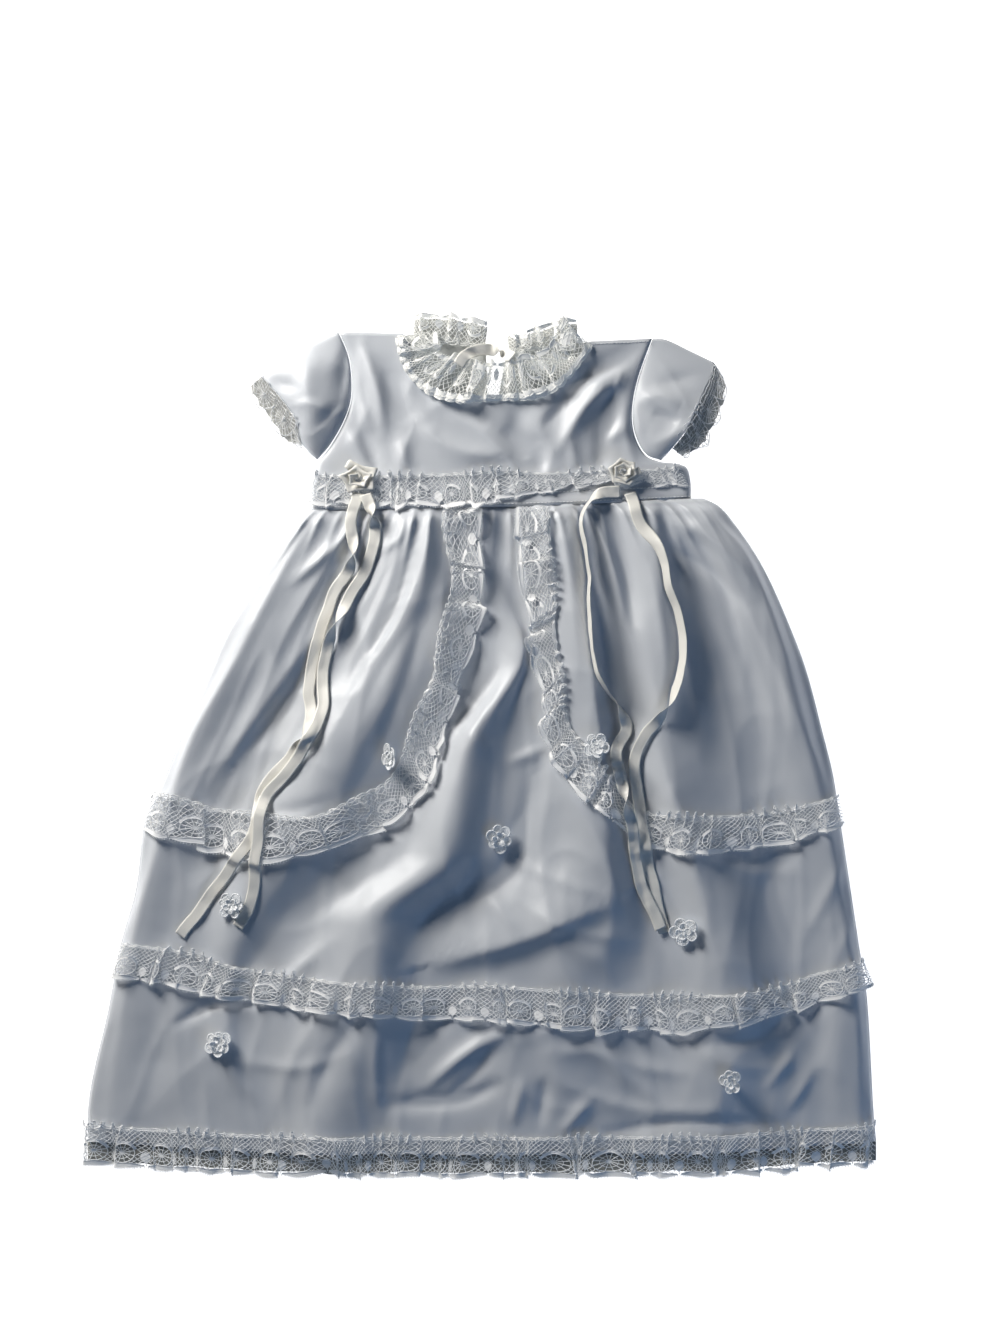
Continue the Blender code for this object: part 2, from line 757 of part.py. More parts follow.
NECK_BACK_LACES = (
    GatheredLace(
        "neck_frill_back_left",
        5,
        1.6,
        Path((-47, 288), (-28, 288), (1, 281)),
        Path((-45, 305), (-22, 305), (4, 300)),
    ),
    GatheredLace(
        "neck_frill_back_right",
        8,
        3.0,
        Path((18, 277), (32, 280), (50, 281), (67, 283)),
        Path((17, 294), (30, 290), (48, 301), (67, 303)),
    ),
)


# Ribbons, roses, the bow and the flowers

Ribbon = namedtuple("Ribbon", "name path")
RIBBONS = (
    Ribbon(
        "ribbon_left_outer",
        Path((-88, 178), (-93, 159), (-92, 131), (-107, 103), (-118.5, 67), (-123, 39), (-121.5, 17),
             (-133, -5), (-155, -32), (-161, -61), (-185, -96), (-214, -135)),
    ),
    Ribbon(
        "ribbon_left_inner",
        Path((-83, 177), (-76, 152), (-83, 124), (-103, 88), (-113, 53), (-114, 21), (-136, -17),
             (-154, -39), (-159, -75), (-163, -110), (-173, -128)),
    ),
    Ribbon(
        "ribbon_right_outer",
        Path((104, 178), (111, 156), (124, 138), (131, 110), (139, 85), (140, 59), (131, 29),
             (115, 7), (107, -11), (110, -39), (115, -75), (128, -133)),
    ),
    Ribbon(
        "ribbon_right_inner",
        Path((97, 176), (83, 154), (76, 128), (73, 103), (79, 54), (96, 27), (101.5, 12),
             (94, -5), (99, -32), (106, -64), (111, -96), (126, -130)),
    ),
)
NECK_BOW = Path((21, 273), (12, 279), (-2, 279.5), (-12, 275), (-17, 268))
BOW_WIDTH = 6.0

Rose = namedtuple("Rose", "name x y half_width half_depth turn")
ROSES = (
    Rose("rosette_left", -89.0, 184.5, 10.5, 8.0, 0.4),
    Rose("rosette_right", 100.0, 189.0, 9.0, 8.0, 2.2),
)
ROSE_TURNS = 2.25
ROSE_STEPS = 30
ROSE_HEIGHT = 6.9
ROSE_FALL = 0.3
ROSE_RIPPLE = 0.07
ROSE_CORE = 0.22
ROSE_EDGES = ((0.0, -0.04), (1.0, 0.07))

FLOWER_CENTRES = ((-66, -9), (80, 0), (11.5, -66.5), (-177.5, -113), (141, -131.5), (-187, -211), (174, -236))
FLOWER_RADIUS = 10.5
FLOWER_PETALS = 5
FLOWER_POINTS = 10
FLOWER_LOBE = 0.13
FLOWER_TURN = 0.9
FLOWER_RINGS = ((0.3, 3.2), (0.66, 1.8), (1.0, 0.0))


def ribbon(name, path, width, ground):
    """A flat tape that bridges the hollows and lies on what stands highest under it."""
    steps = round(path.length / RIBBON_STEP)
    lines, tops = [], []
    for k in range(steps + 1):
        share = k / steps
        centre, across = path.at(share), path.left_of(share) * width / 2
        lines.append((centre - across, centre + across))
        spots = (centre - across, centre, centre + across)
        tops.append(max(ground.top(p.x, p.y, RIBBON_STEP * RIBBON_REACH) for p in spots))
    for _ in range(RIBBON_SMOOTHING):
        for k in range(1, steps):
            tops[k] = max(tops[k], (tops[k - 1] + tops[k + 1]) / 2)
    rows = []
    for k, ((a, b), top) in enumerate(zip(lines, tops)):
        lean = RIBBON_LEAN * math.sin(RIBBON_ROLL * k)
        z = top + SEAM_GAP + RIBBON_LEAN
        rows.append([(a.x, a.y, z + lean), (b.x, b.y, z - lean)])
    return cloth(name, rows, LACE, 1, CREAM_RIBBON)


def rosette(rose, ground):
    """Ribbon wound into a rose, each turn a standing wall."""
    reaches = (rose.half_depth / 2, rose.half_depth)
    base = max(ground.top(rose.x, rose.y, reach) for reach in reaches) + SEAM_GAP
    rows = []
    for level, flare in ROSE_EDGES:
        row = []
        for k in range(ROSE_STEPS + 1):
            share = k / ROSE_STEPS
            angle = rose.turn + 2 * math.pi * ROSE_TURNS * share
            reach = ROSE_CORE + (1 - ROSE_CORE) * share + flare
            x = rose.x + rose.half_width * reach * math.cos(angle)
            y = rose.y + rose.half_depth * reach * math.sin(angle)
            rim = ROSE_HEIGHT * (1 - ROSE_FALL * share + ROSE_RIPPLE * math.sin(3 * angle))
            row.append((x, y, base + rim * level))
        rows.append(row)
    return cloth(rose.name, rows, LACE, 0, CREAM_RIBBON)


def flower(name, x, y, turn, ground):
    """A small raised flower whose rim has a lobe for each petal."""
    rows = []
    for reach, lift in FLOWER_RINGS:
        row = []
        for k in range(FLOWER_POINTS):
            angle = turn + 2 * math.pi * k / FLOWER_POINTS
            lobe = 1 - FLOWER_LOBE * reach * (1 + math.cos(FLOWER_PETALS * (angle - turn)))
            px = x + FLOWER_RADIUS * reach * lobe * math.cos(angle)
            py = y + FLOWER_RADIUS * reach * lobe * math.sin(angle)
            row.append((px, py, ground.top(px, py, TRIM_REACH) + SEAM_GAP + lift))
        rows.append(row)
    return cloth(name, rows, LACE, 1, GUIPURE, closed=True, capped=True)


def make_panels():
    """The panels and the sleeves. Returns the ones that trims lie on."""
    panels = [skirt_back(), *bodice_backs(), hem_lace_back(), skirt_front(), bodice_front()]
    for cut in SLEEVES:
        sleeve(cut)
        cuff_lace(cut)
    return panels


def add_trims(ground):
    """Every trim in the order that it lies in, each on those before it."""
    hem_lace_front(ground)
    for lace in TRIM_LACES:
        ground.add(gathered_lace(lace, ground, ON_SATIN_REACH, SIDE_SEAM_HEIGHT, WHITE_LACE))
    for number, (x, y) in enumerate(FLOWER_CENTRES, 1):
        ground.add(flower(f"flower_{number}", x, y, FLOWER_TURN * number, ground))
    for tail in RIBBONS:
        ground.add(ribbon(tail.name, tail.path, RIBBON_WIDTH, ground))
    for rose in ROSES:
        rosette(rose, ground)
    for lace in NECK_BACK_LACES:
        ground.add(gathered_lace(lace, ground, NECK_BACK_REACH, 0.0, CREAM_LACE))
    ground.add(neck_frill_front(ground))
    ribbon("neck_bow", NECK_BOW, BOW_WIDTH, ground)


for old in list(bpy.data.objects):
    bpy.data.objects.remove(old, do_unlink=True)

GOWN = bpy.data.collections.new("Christening gown")
bpy.context.scene.collection.children.link(GOWN)
WHITE_SATIN = cloth_material("white satin", (0.86, 0.87, 0.91), 0.38)
WHITE_LACE = cloth_material("white cotton lace", (0.88, 0.89, 0.9), 0.8)
CREAM_LACE = cloth_material("cream white lace", (0.88, 0.86, 0.8), 0.8)
CREAM_RIBBON = cloth_material("cream satin ribbon", (0.88, 0.84, 0.74), 0.35)
GUIPURE = cloth_material("guipure lace", (0.9, 0.9, 0.9), 0.7)

on_floor = Ground()
for panel in make_panels():
    on_floor.add(panel)
add_trims(on_floor)
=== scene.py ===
"""Looks of the christening gown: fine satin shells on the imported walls, thread lace, ribbons and flowers.

The tables are in the part's millimetres, as seen from above with the neck to +Y. world() turns them into
metres of the shared frame. A panel is a grid of points: its rows run across the cloth and its columns along
it. A trim lies on a relief, which holds the highest point laid so far over each square millimetre.
"""

import math
from collections import namedtuple

import bpy
import numpy as np
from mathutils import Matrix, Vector, noise

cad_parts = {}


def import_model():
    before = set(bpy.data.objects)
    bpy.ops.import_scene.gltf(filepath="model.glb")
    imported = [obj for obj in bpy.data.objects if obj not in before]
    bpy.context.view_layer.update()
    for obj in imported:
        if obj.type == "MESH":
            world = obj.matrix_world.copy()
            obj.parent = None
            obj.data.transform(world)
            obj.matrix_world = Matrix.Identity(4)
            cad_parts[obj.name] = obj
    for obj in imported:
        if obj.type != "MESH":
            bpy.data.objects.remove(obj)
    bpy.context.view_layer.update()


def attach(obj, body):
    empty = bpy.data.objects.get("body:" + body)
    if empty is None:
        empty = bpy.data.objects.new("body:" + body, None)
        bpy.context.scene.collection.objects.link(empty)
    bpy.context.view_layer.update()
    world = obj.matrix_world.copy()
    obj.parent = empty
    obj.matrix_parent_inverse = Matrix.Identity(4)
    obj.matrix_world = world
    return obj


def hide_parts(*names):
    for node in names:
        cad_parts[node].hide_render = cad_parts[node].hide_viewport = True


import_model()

MM = 0.001
MIDDLE_X, MIDDLE_Y = -0.7, -0.7
UP = np.array([[0.0, 0.0, 1.0]])

# Sizes
GRID_STEP = 2.4
SHELL = 0.5
RIBBON_SHELL = 0.25
SKIRT_LENGTH = 456.0
SIDE_SEAM_HEIGHT = 2.9
RIBBON_WIDTH = 8.5
LACE_WIDTH = 32.0
REPEAT = 26.0  # of the laces' pattern, along them
EDGE_DEPTH = 2.6  # of the wide lace's scallops
FLOWER_RADIUS = 10.8
PETAL_TILT = 0.6

# How steep a fold is on each side, and how high creases and ruffles are beside what the tables say
LIT_SIDE_SHARPNESS, SHADED_SIDE_SHARPNESS = 1.4, 1.2
CREASE_STRENGTH, BODICE_CREASE_STRENGTH = 1.6, 2.3
RUFFLE_STRENGTH, RUFFLE_LEAN, RUFFLE_LIMIT = 1.9, 0.5, 1.1
GATHERS = 27

# Distance below the waist, and where the skirt's sides are
SkirtSide = namedtuple("SkirtSide", "down left right")
SKIRT_SIDES = SkirtSide(*zip(
    (0, -125.7, 156.9),
    (5, -130.6, 167.0),
    (16, -137.7, 176.8),
    (48, -156.9, 198.1),
    (90, -181.8, 217.3),
    (122, -195.3, 229.3),
    (165, -214.4, 240.7),
    (197, -227.2, 248.5),
    (229, -240.7, 253.5),
    (271, -245.7, 259.9),
    (314, -257.0, 266.3),
    (356, -264.8, 272.6),
    (442, -280.5, 277.6),
    (SKIRT_LENGTH, -280.5, 279.0),
))
WAIST_SHARE = (0.0, 0.5, 1.0)
WAIST_Y = (165.8, 168.2, 174.2)
HEM_SHARE = (0.0, 0.25, 0.5, 0.75, 1.0)
HEM_Y = (-281.0, -289.0, -290.0, -289.0, -281.0)

# Crests and hollows of the skirt from left to right, as in the part
FOLD_DOWN = (0, 37, 101, 165, 243, 293, 349, 406, SKIRT_LENGTH)
Fold = namedtuple("Fold", "across height")
FOLDS = (
    Fold((-114, -136, -169, -205, -229, -243, -252, -259, -263), (6, 9, 11, 11, 9, 8, 7, 6, 5)),
    Fold((-93, -93, -117, -157, -196, -209, -215, -229, -236), (4, 3.4, 3.2, 3.2, 3.2, 3.2, 3.2, 3.2, 3)),
    Fold((-41, -41, -57, -96, -142, -172, -182, -176, -172), (8, 14, 17, 18, 15, 10, 6, 5, 4)),
    Fold((-25, -22, 6, -30, -79, -136, -172, -165, -157), (5, 4, 4, 3.5, 3.2, 3.2, 3.2, 3.2, 3)),
    Fold((-9, -3, 29, -8, -26, -76, -79, -98, -114), (6, 8, 11, 17, 19, 18, 16, 13, 9)),
    Fold((12, 18, 32, 21, 23, -33, -43, -48, -59), (5, 5, 8, 6, 4.5, 3.6, 3.2, 3.2, 3)),
    Fold((59, 62, 72, 82, 86, 87, 55, 40, 26), (9, 13, 16, 17, 16, 12, 8, 7, 5)),
    Fold((70, 76, 87, 96, 112, 122, 117, 112, 83), (4, 3.4, 3.2, 3.2, 3.2, 3.2, 3.2, 3.2, 3)),
    Fold((119, 122, 123, 127, 147, 165, 179, 168, 154), (9, 13, 15, 14, 16, 17, 15, 11, 7)),
    Fold((128, 137, 163, 186, 200, 207, 226, 225, 218), (5, 4, 3.6, 3.4, 3.2, 3.2, 3.2, 3.2, 3)),
    Fold((143, 182, 208, 225, 244, 252, 262, 265, 266), (7, 12, 14, 13, 10, 9, 9, 8, 6)),
)

# Creases: the height of a ridge or the depth of a trough, its width left and right of its line, and the line
Crease = namedtuple("Crease", "height left right line")


def creases(*rows):
    return [Crease(*row[:3], row[3:]) for row in rows]


SKIRT_CREASES = creases(
    (2.2, 4, 5, (-97, 147), (-114, 132), (-133, 115)),
    (2.4, 6, 9, (-98, 103), (-117, 80), (-136, 54), (-157, 23), (-178, -5), (-198, -34)),
    (-1.6, 6, 6, (-109, 74), (-133, 39), (-157, 7), (-175, -15)),
    (1.2, 8, 8, (-136, 145), (-157, 103), (-178, 60), (-197, 17)),
    (1.4, 3, 3, (-54, 162), (-60, 145), (-73, 137)),
    (-1.6, 4, 5, (-46, 157), (-53, 127), (-61, 97), (-76, 69), (-93, 39)),
    (1.3, 4, 4, (-82, 134), (-92, 104), (-103, 74), (-114, 49)),
    (1.2, 7, 6, (-102, 39), (-117, 7), (-136, -22)),
    (-1.0, 5, 5, (-109, -39), (-130, -45), (-153, -48)),
    (-1.5, 7, 7, (-33, 131), (-42, 88), (-56, 43), (-73, 0), (-94, -39)),
    (1.4, 8, 12, (26, 74), (3, 49), (-15, 20), (-31, -18), (-50, -55), (-73, -81), (-109, -108)),
    (1.0, 4, 4, (-12, 12), (2, -5)),
    (1.3, 4, 5, (18, -12), (45, -2)),
    (-2.2, 12, 10, (9, 3), (4, -32), (-4, -75), (-23, -103), (-45, -132), (-62, -159)),
    (-2.4, 10, 8, (40, -10), (29, -55), (16, -91), (-9, -109), (-29, -132)),
    (2.4, 6, 14, (45, -14), (72, -50), (89, -86), (93, -112)),
    (5.0, 8, 24, (93, -109), (65, -121), (33, -135), (-1, -146), (-32, -154)),
    (1.0, 4, 4, (6, -108), (22, -130)),
    (0.7, 5, 5, (21, -83), (55, -96), (83, -105)),
    (1.2, 10, 8, (55, -139), (83, -153), (96, -171)),
    (-2.4, 4, 4, (-215, -197), (-191, -184), (-157, -181)),
    (1.6, 5, 7, (-157, -183), (-140, -167), (-109, -139)),
    (1.0, 6, 6, (-191, -203), (-178, -231), (-157, -255)),
    (1.3, 7, 7, (-109, -181), (-133, -221), (-147, -260)),
    (-1.6, 8, 6, (-87, -189), (-109, -224), (-123, -261)),
    (-2.4, 8, 8, (-23, -187), (-45, -207), (-60, -237)),
    (3.0, 5, 6, (16, -203), (-11, -218), (-39, -241)),
    (-1.4, 4, 4, (6, -218), (-8, -235), (-26, -247)),
    (-2.4, 5, 6, (12, -240), (-15, -251), (-70, -255)),
    (1.6, 2.5, 5, (-74, -201), (-75, -231), (-72, -261)),
    (1.8, 5, 5, (28, -237), (21, -268)),
    (-1.8, 5, 5, (44, -237), (40, -269)),
    (2.0, 5, 5, (76, -251), (56, -275)),
    (1.8, 6, 7, (49, -217), (80, -218), (104, -237), (131, -258)),
    (1.2, 6, 6, (83, -214), (111, -228), (147, -233)),
    (1.0, 5, 6, (46, -233), (69, -245), (111, -258), (168, -257)),
    (-1.8, 4, 5, (86, -275), (140, -267), (208, -268)),
    (1.5, 4, 4, (219, -218), (202, -242)),
    (1.6, 4, 5, (234, -230), (217, -258)),
    (-1.6, 6, 6, (154, -210), (191, -207), (218, -189)),
    (1.4, 10, 10, (253, -189), (249, -224), (253, -260)),
    (-2.6, 7, 5, (93, 145), (102, 115), (106, 81)),
    (1.0, 4, 5, (82, 145), (87, 110), (96, 74)),
    (1.6, 6, 8, (122, 0), (134, -39), (148, -82), (157, -125), (168, -160)),
    (0.9, 4, 4, (134, -32), (148, -65), (151, -91)),
    (2.8, 6, 6, (131, 159), (157, 148), (180, 127), (192, 107)),
    (-2.8, 5, 5, (134, 140), (163, 121), (184, 98)),
    (1.4, 7, 8, (137, 131), (163, 95), (181, 53), (191, 10)),
    (1.0, 6, 8, (181, 88), (200, 39), (209, -11)),
    (1.0, 5, 5, (258, -76), (241, -110), (229, -135)),
    (0.8, 5, 5, (269, -110), (255, -139), (246, -159)),
    (-1.4, 7, 7, (208, -75), (205, -110), (218, -146)),
    (1.6, 2.5, 9, (64, 159), (72, 124), (79, 74), (84, 32), (89, -11), (92, -61)),
    (-2.0, 8, 8, (76, 131), (84, 88), (87, 32), (99, -18), (110, -61), (113, -110), (111, -164)),
    (1.6, 10, 3, (-33, 162), (-39, 142), (-48, 113), (-64, 80), (-84, 55), (-100, 22), (-117, -11)),
    (1.1, 5, 2.5, (-56, 152), (-65, 120), (-79, 87), (-93, 60)),
    (-0.8, 5, 7, (-45, 94), (-70, 54), (-86, 20)),
    (1.5, 9, 2.5, (66, 159), (71, 131), (76, 75), (81, 39)),
    (1.4, 9, 4, (93, 164), (113, 134), (123, 99), (128, 50), (113, 5)),
    (1.3, 8, 3, (131, 131), (137, 99), (144, 60), (154, 17)),
    (0.9, 6, 4, (163, 131), (184, 103), (194, 74)),
    (0.9, 5, 4, (208, 64), (215, 32), (219, 3)),
    (0.9, 5, 7, (154, -68), (182, -88), (222, -91)),
    (0.9, 6, 5, (26, -110), (55, -128), (111, -140)),
    (1.0, 4, 7, (104, -75), (126, -103), (147, -147)),
    (0.8, 5, 5, (-173, -224), (-130, -228), (-94, -217)),
    (0.8, 5, 6, (154, -218), (188, -228), (225, -225)),
)
BODICE_CREASES = creases(
    (1.3, 4, 4, (-93, 276), (-89, 247), (-79, 223)),
    (1.4, 4, 4, (-96, 222), (-86, 208), (-76, 196)),
    (-1.1, 6, 6, (-50, 264), (-33, 247), (-9, 232), (6, 228)),
    (1.0, 6, 6, (-38, 237), (-22, 246), (-2, 249)),
    (-1.2, 5, 6, (12, 223), (26, 216), (40, 211)),
    (1.2, 7, 5, (76, 252), (87, 259), (100, 264)),
    (1.1, 5, 5, (80, 208), (92, 219), (109, 228)),
    (-2.2, 4, 5, (-94, 282), (-94, 260), (-89, 236)),
    (1.8, 5, 6, (-86, 283), (-75, 252), (-70, 222)),
    (-1.8, 6, 6, (-67, 267), (-59, 246), (-49, 228)),
    (-1.4, 5, 5, (-84, 223), (-80, 208), (-75, 193)),
    (0.6, 6, 6, (-40, 226), (-28, 211)),
    (1.4, 7, 7, (-33, 215), (-9, 206), (15, 205)),
    (-1.6, 8, 8, (26, 243), (25, 223), (31, 201)),
    (-1.4, 6, 6, (38, 211), (42, 192)),
    (-2.6, 5, 6, (116, 283), (92, 270), (69, 257), (49, 230)),
    (2.4, 6, 6, (103, 260), (76, 243), (55, 211)),
    (1.3, 5, 5, (55, 279), (65, 272), (67, 257)),
    (-2.2, 6, 6, (92, 255), (87, 225), (82, 193)),
    (1.4, 5, 5, (103, 245), (102, 223), (107, 201)),
    (1.0, 5, 5, (62, 216), (66, 195)),
    (1.0, 5, 5, (-59, 216), (-53, 195)),
)

# Sleeves, from the armhole to the cuff, as in the part. Shift is how far one is moved to +X, puff and rise
# are how high it stands in its middle and at the cuff, crown is its shape across, and seed is its lace's.
SleeveCut = namedtuple(
    "SleeveCut", "side shift puff rise crown seed armhole top under cuff lace_edge creases"
)
SLEEVES = (
    SleeveCut(
        "left", -0.4, 6.5, 3.5, 1.0, 3.0,
        ((-117, 201), (-108, 212), (-98, 230), (-93, 248), (-94.5, 273), (-102, 292.5)),
        ((-102, 292.5), (-121, 285), (-141, 274), (-157, 261)),
        ((-117, 201), (-122, 205), (-128, 212)),
        ((-157, 261), (-151.5, 255), (-145, 248), (-138, 239), (-132.5, 229), (-128, 212)),
        ((-166.5, 253), (-164, 247), (-157, 236.5), (-147, 222), (-140, 214), (-128.5, 210.5)),
        creases(
            (-1.6, 3, 5, (-96, 284), (-98, 268), (-100, 250)),
            (1.6, 7, 9, (-121, 279), (-124, 258), (-122, 238)),
            (-1.3, 5, 5, (-150, 262), (-143, 256), (-132, 252)),
            (1.1, 4, 5, (-134, 240), (-122, 240), (-108, 236)),
            (-1.4, 5, 4, (-118, 222), (-110, 230), (-103, 240)),
        ),
    ),
    SleeveCut(
        "right", 0.4, 2.2, 6.3, 1.5, 1.0,
        ((126, 200.5), (115, 205.5), (107.5, 220), (105.8, 238), (110, 260), (120, 287.9)),
        ((120, 287.9), (130, 287), (147, 279), (163.5, 271)),
        ((126, 200.5), (128, 202.5), (129.5, 204)),
        ((163.5, 271), (162, 262), (156, 249), (150, 236), (143.5, 222), (129.5, 204)),
        ((172, 258), (173, 247.5), (167.5, 230), (161, 218), (154, 209), (142.5, 203.5)),
        creases(
            (-1.2, 5, 6, (122, 256), (136, 258), (152, 262)),
            (1.6, 5, 6, (112, 243), (124, 247), (140, 240)),
            (-1.5, 6, 6, (120, 236), (128, 232), (138, 226)),
            (1.2, 5, 6, (119, 212), (132, 217), (146, 228)),
        ),
    ),
)

# Lace strips: heading edge, free edge, ruffles along it, their height, and how much longer the flat lace is
LaceStrip = namedtuple("LaceStrip", "name ruffles height fullness heading free")
LACES = (
    LaceStrip(
        "tier_lace", 27, 3.2, 1.3,
        ((-256, -140), (-215, -146), (-165, -159), (-109, -166), (-45, -171), (12, -171),
         (69, -174.5), (119, -177), (168, -176), (211, -171), (239, -161), (270, -154)),
        ((-263, -163), (-215, -173), (-165, -181.5), (-109, -189), (-45, -194), (12, -197),
         (69, -200.5), (119, -203), (168, -199), (211, -191), (239, -182), (277, -170)),
    ),
    LaceStrip(
        "swag_lace_left", 19, 3.0, 1.3,
        ((-26, 167), (-22, 131), (-23, 103), (-30, 67), (-41, 32), (-53, 0), (-70, -29), (-101, -45),
         (-137, -52), (-172, -48), (-208, -41), (-236, -36)),
        ((-4, 167), (0, 131), (0, 103), (-6, 67), (-20, 30), (-27, -5), (-41, -35), (-73, -60),
         (-109, -74), (-151, -81), (-201, -72), (-241, -61)),
    ),
    LaceStrip(
        "swag_lace_right", 19, 3.0, 1.3,
        ((46, 168), (48, 131), (49, 103), (52, 67), (55, 39), (61, 14), (77, -6), (93, -28), (113, -47),
         (154, -50), (204, -48), (251, -36)),
        ((23, 168), (25, 131), (28, 103), (35, 67), (39, 32), (44, 3), (55, -22), (83, -48), (114, -71),
         (154, -77), (204, -72), (258, -55)),
    ),
    LaceStrip(
        "waist_lace", 22, 0.8, 1.45,
        ((-120, 191), (-59, 190), (-2, 193), (55, 192), (110, 194), (140, 196)),
        ((-121, 171), (-110, 169), (-98, 170.5), (-84, 167), (-70, 168.5), (-57, 166.5), (-41, 168.5),
         (-28, 166.5), (-14, 170), (-2, 168), (12, 171), (25, 173), (36, 177), (49, 179), (61, 184),
         (75, 182), (88, 184.5), (100, 182), (112, 184), (124, 182), (136, 184), (146, 182)),
    ),
)
HEM_LACE_ABOVE = 12.0
HEM_LACE_BELOW = 16.5
NECK_BACK_LACES = (
    LaceStrip("neck_frill_back_left", 4, 1.4, 1.4,
              ((-50, 288), (-28, 288), (1, 281)), ((-48, 305), (-22, 305), (4, 300))),
    LaceStrip("neck_frill_back_right", 6, 3.4, 1.75,
              ((18, 277), (32, 280), (50, 281), (67, 283)), ((17, 294), (30, 290), (48, 301), (67, 303))),
)

# Ribbon tails, with the places where they turn over: share of the length, reach and half turns
Tail = namedtuple("Tail", "name turns path")
TAILS = (
    Tail("ribbon_left_outer", ((0.13, 34, 1), (0.52, 30, 1)),
         ((-88, 178), (-93, 159), (-92, 131), (-107, 103), (-118.5, 67), (-123, 39), (-121.5, 17),
          (-133, -5), (-155, -32), (-161, -61), (-185, -96), (-214, -135))),
    Tail("ribbon_left_inner", ((0.05, 20, 1), (0.30, 44, 1)),
         ((-83, 177), (-76, 152), (-83, 124), (-103, 88), (-113, 53), (-114, 21), (-136, -17),
          (-154, -39), (-159, -75), (-163, -110), (-173, -128))),
    Tail("ribbon_right_outer", ((0.12, 30, 0.3), (0.50, 40, 0.7)),
         ((104, 178), (111, 156), (124, 138), (131, 110), (139, 85), (140, 59), (131, 29),
          (115, 7), (107, -11), (110, -39), (115, -75), (128, -133))),
    Tail("ribbon_right_inner", ((0.05, 14, 0.42), (0.53, 24, 0.58), (0.72, 30, 1)),
         ((97, 179), (84, 178), (74, 170), (69, 158), (72, 138), (75, 120), (74, 103), (79, 54), (96, 27),
          (101.5, 12), (94, -5), (99, -32), (106, -64), (111, -96), (126, -130))),
)
NECK_BOW = ((21, 273), (12, 279), (-2, 279.5), (-12, 275), (-17, 268))
Rose = namedtuple("Rose", "name x y half_width half_depth turn turns corners")
ROSES = (
    Rose("rosette_left", -88.5, 188.0, 15.0, 11.5, 0.4, 2.3, 4),
    Rose("rosette_right", 99.5, 193.0, 12.5, 11.0, 2.2, 2.7, 5),
)
Flower = namedtuple("Flower", "x y petals squeeze")
FLOWERS = (
    Flower(-66, -9, 5, 0.5),
    Flower(80, 0, 5, 0.9),
    Flower(11.5, -66.5, 6, 0.97),
    Flower(-177.5, -113, 6, 0.95),
    Flower(141, -131.5, 5, 0.95),
    Flower(-187, -211, 6, 0.97),
    Flower(174, -236, 5, 0.8),
)


# Curves and grids


def smooth_value(positions, values, at):
    """Values at these positions, on a smooth curve that doesn't overshoot the table's."""
    x, y = np.array(positions, float), np.array(values, float)
    secants = np.diff(y) / np.diff(x)
    slopes = np.empty(len(x))
    slopes[0], slopes[-1] = secants[0], secants[-1]
    before, after = secants[:-1], secants[1:]
    total = np.where(before * after > 0, before + after, 1.0)
    slopes[1:-1] = np.where(before * after > 0, 2 * before * after / total, 0.0)
    at = np.clip(at, x[0], x[-1])
    row = np.clip(np.searchsorted(x, at, side="right") - 1, 0, len(x) - 2)
    width = x[row + 1] - x[row]
    f = (at - x[row]) / width
    return (
        y[row] * (1 + 2 * f) * (1 - f) ** 2
        + y[row + 1] * f * f * (3 - 2 * f)
        + width * slopes[row] * f * (1 - f) ** 2
        - width * slopes[row + 1] * f * f * (1 - f)
    )


def ease(f):
    return (1 - np.cos(np.pi * np.clip(f, 0.0, 1.0))) / 2


def unit(vectors):
    return vectors / np.maximum(np.linalg.norm(vectors, axis=-1, keepdims=True), 1e-9)


def joined(*axes):
    """Points from their coordinates, of which some may be plain numbers."""
    return np.stack(np.broadcast_arrays(*axes), axis=-1)


def split(points):
    return np.moveaxis(points, -1, 0)


def bell(distance, power=2):
    return np.exp(-(distance**power))


class Path:
    """A smooth curve through points, read by the share of its length."""

    STEPS = 12

    def __init__(self, corners):
        c = np.array(corners, float)
        c = np.vstack([2 * c[0] - c[1], c, 2 * c[-1] - c[-2]])
        pieces = [c[1:2]]
        f = (np.arange(self.STEPS) + 1)[:, None] / self.STEPS
        for p, q, r, s in zip(c, c[1:], c[2:], c[3:]):
            bend = (2 * p - 5 * q + 4 * r - s) * f + (3 * q - p - 3 * r + s) * f * f
            pieces.append(q + (r - p + bend) * f / 2)
        self.points = np.vstack(pieces)
        steps = np.linalg.norm(np.diff(self.points, axis=0), axis=1)
        self.reach = np.concatenate([[0.0], np.cumsum(steps)])
        self.length = self.reach[-1]

    def at(self, share):
        reach = np.clip(share, 0, 1) * self.length
        return joined(*[np.interp(reach, self.reach, axis) for axis in self.points.T])

    def left_of(self, share):
        x, y = split(unit(self.at(np.minimum(share + 0.01, 1)) - self.at(np.maximum(share - 0.01, 0))))
        return joined(-y, x)


class Joined:
    """Paths end to end, each ending at its own share of the whole."""

    def __init__(self, *parts):
        self.parts = parts

    def at(self, share):
        share = np.asarray(share, float)
        found = np.empty(share.shape + (2,))
        start = 0.0
        for end, path in self.parts:
            here = (share >= start) & (share <= end)
            found[here] = path.at((share[here] - start) / (end - start))
            start = end
        return found


def patch(bottom, top, left, right, s, t):
    """Points of the plan between four edges: s runs from left to right and t from bottom to top."""
    s, t = s[..., None], t[..., None]
    ends = np.array([0.0, 1.0])
    low, high = bottom.at(ends), top.at(ends)
    flat = (low[0] * (1 - s) + low[1] * s) * (1 - t) + (high[0] * (1 - s) + high[1] * s) * t
    across = bottom.at(s[..., 0]) * (1 - t) + top.at(s[..., 0]) * t
    along = left.at(t[..., 0]) * (1 - s) + right.at(t[..., 0]) * s
    return across + along - flat


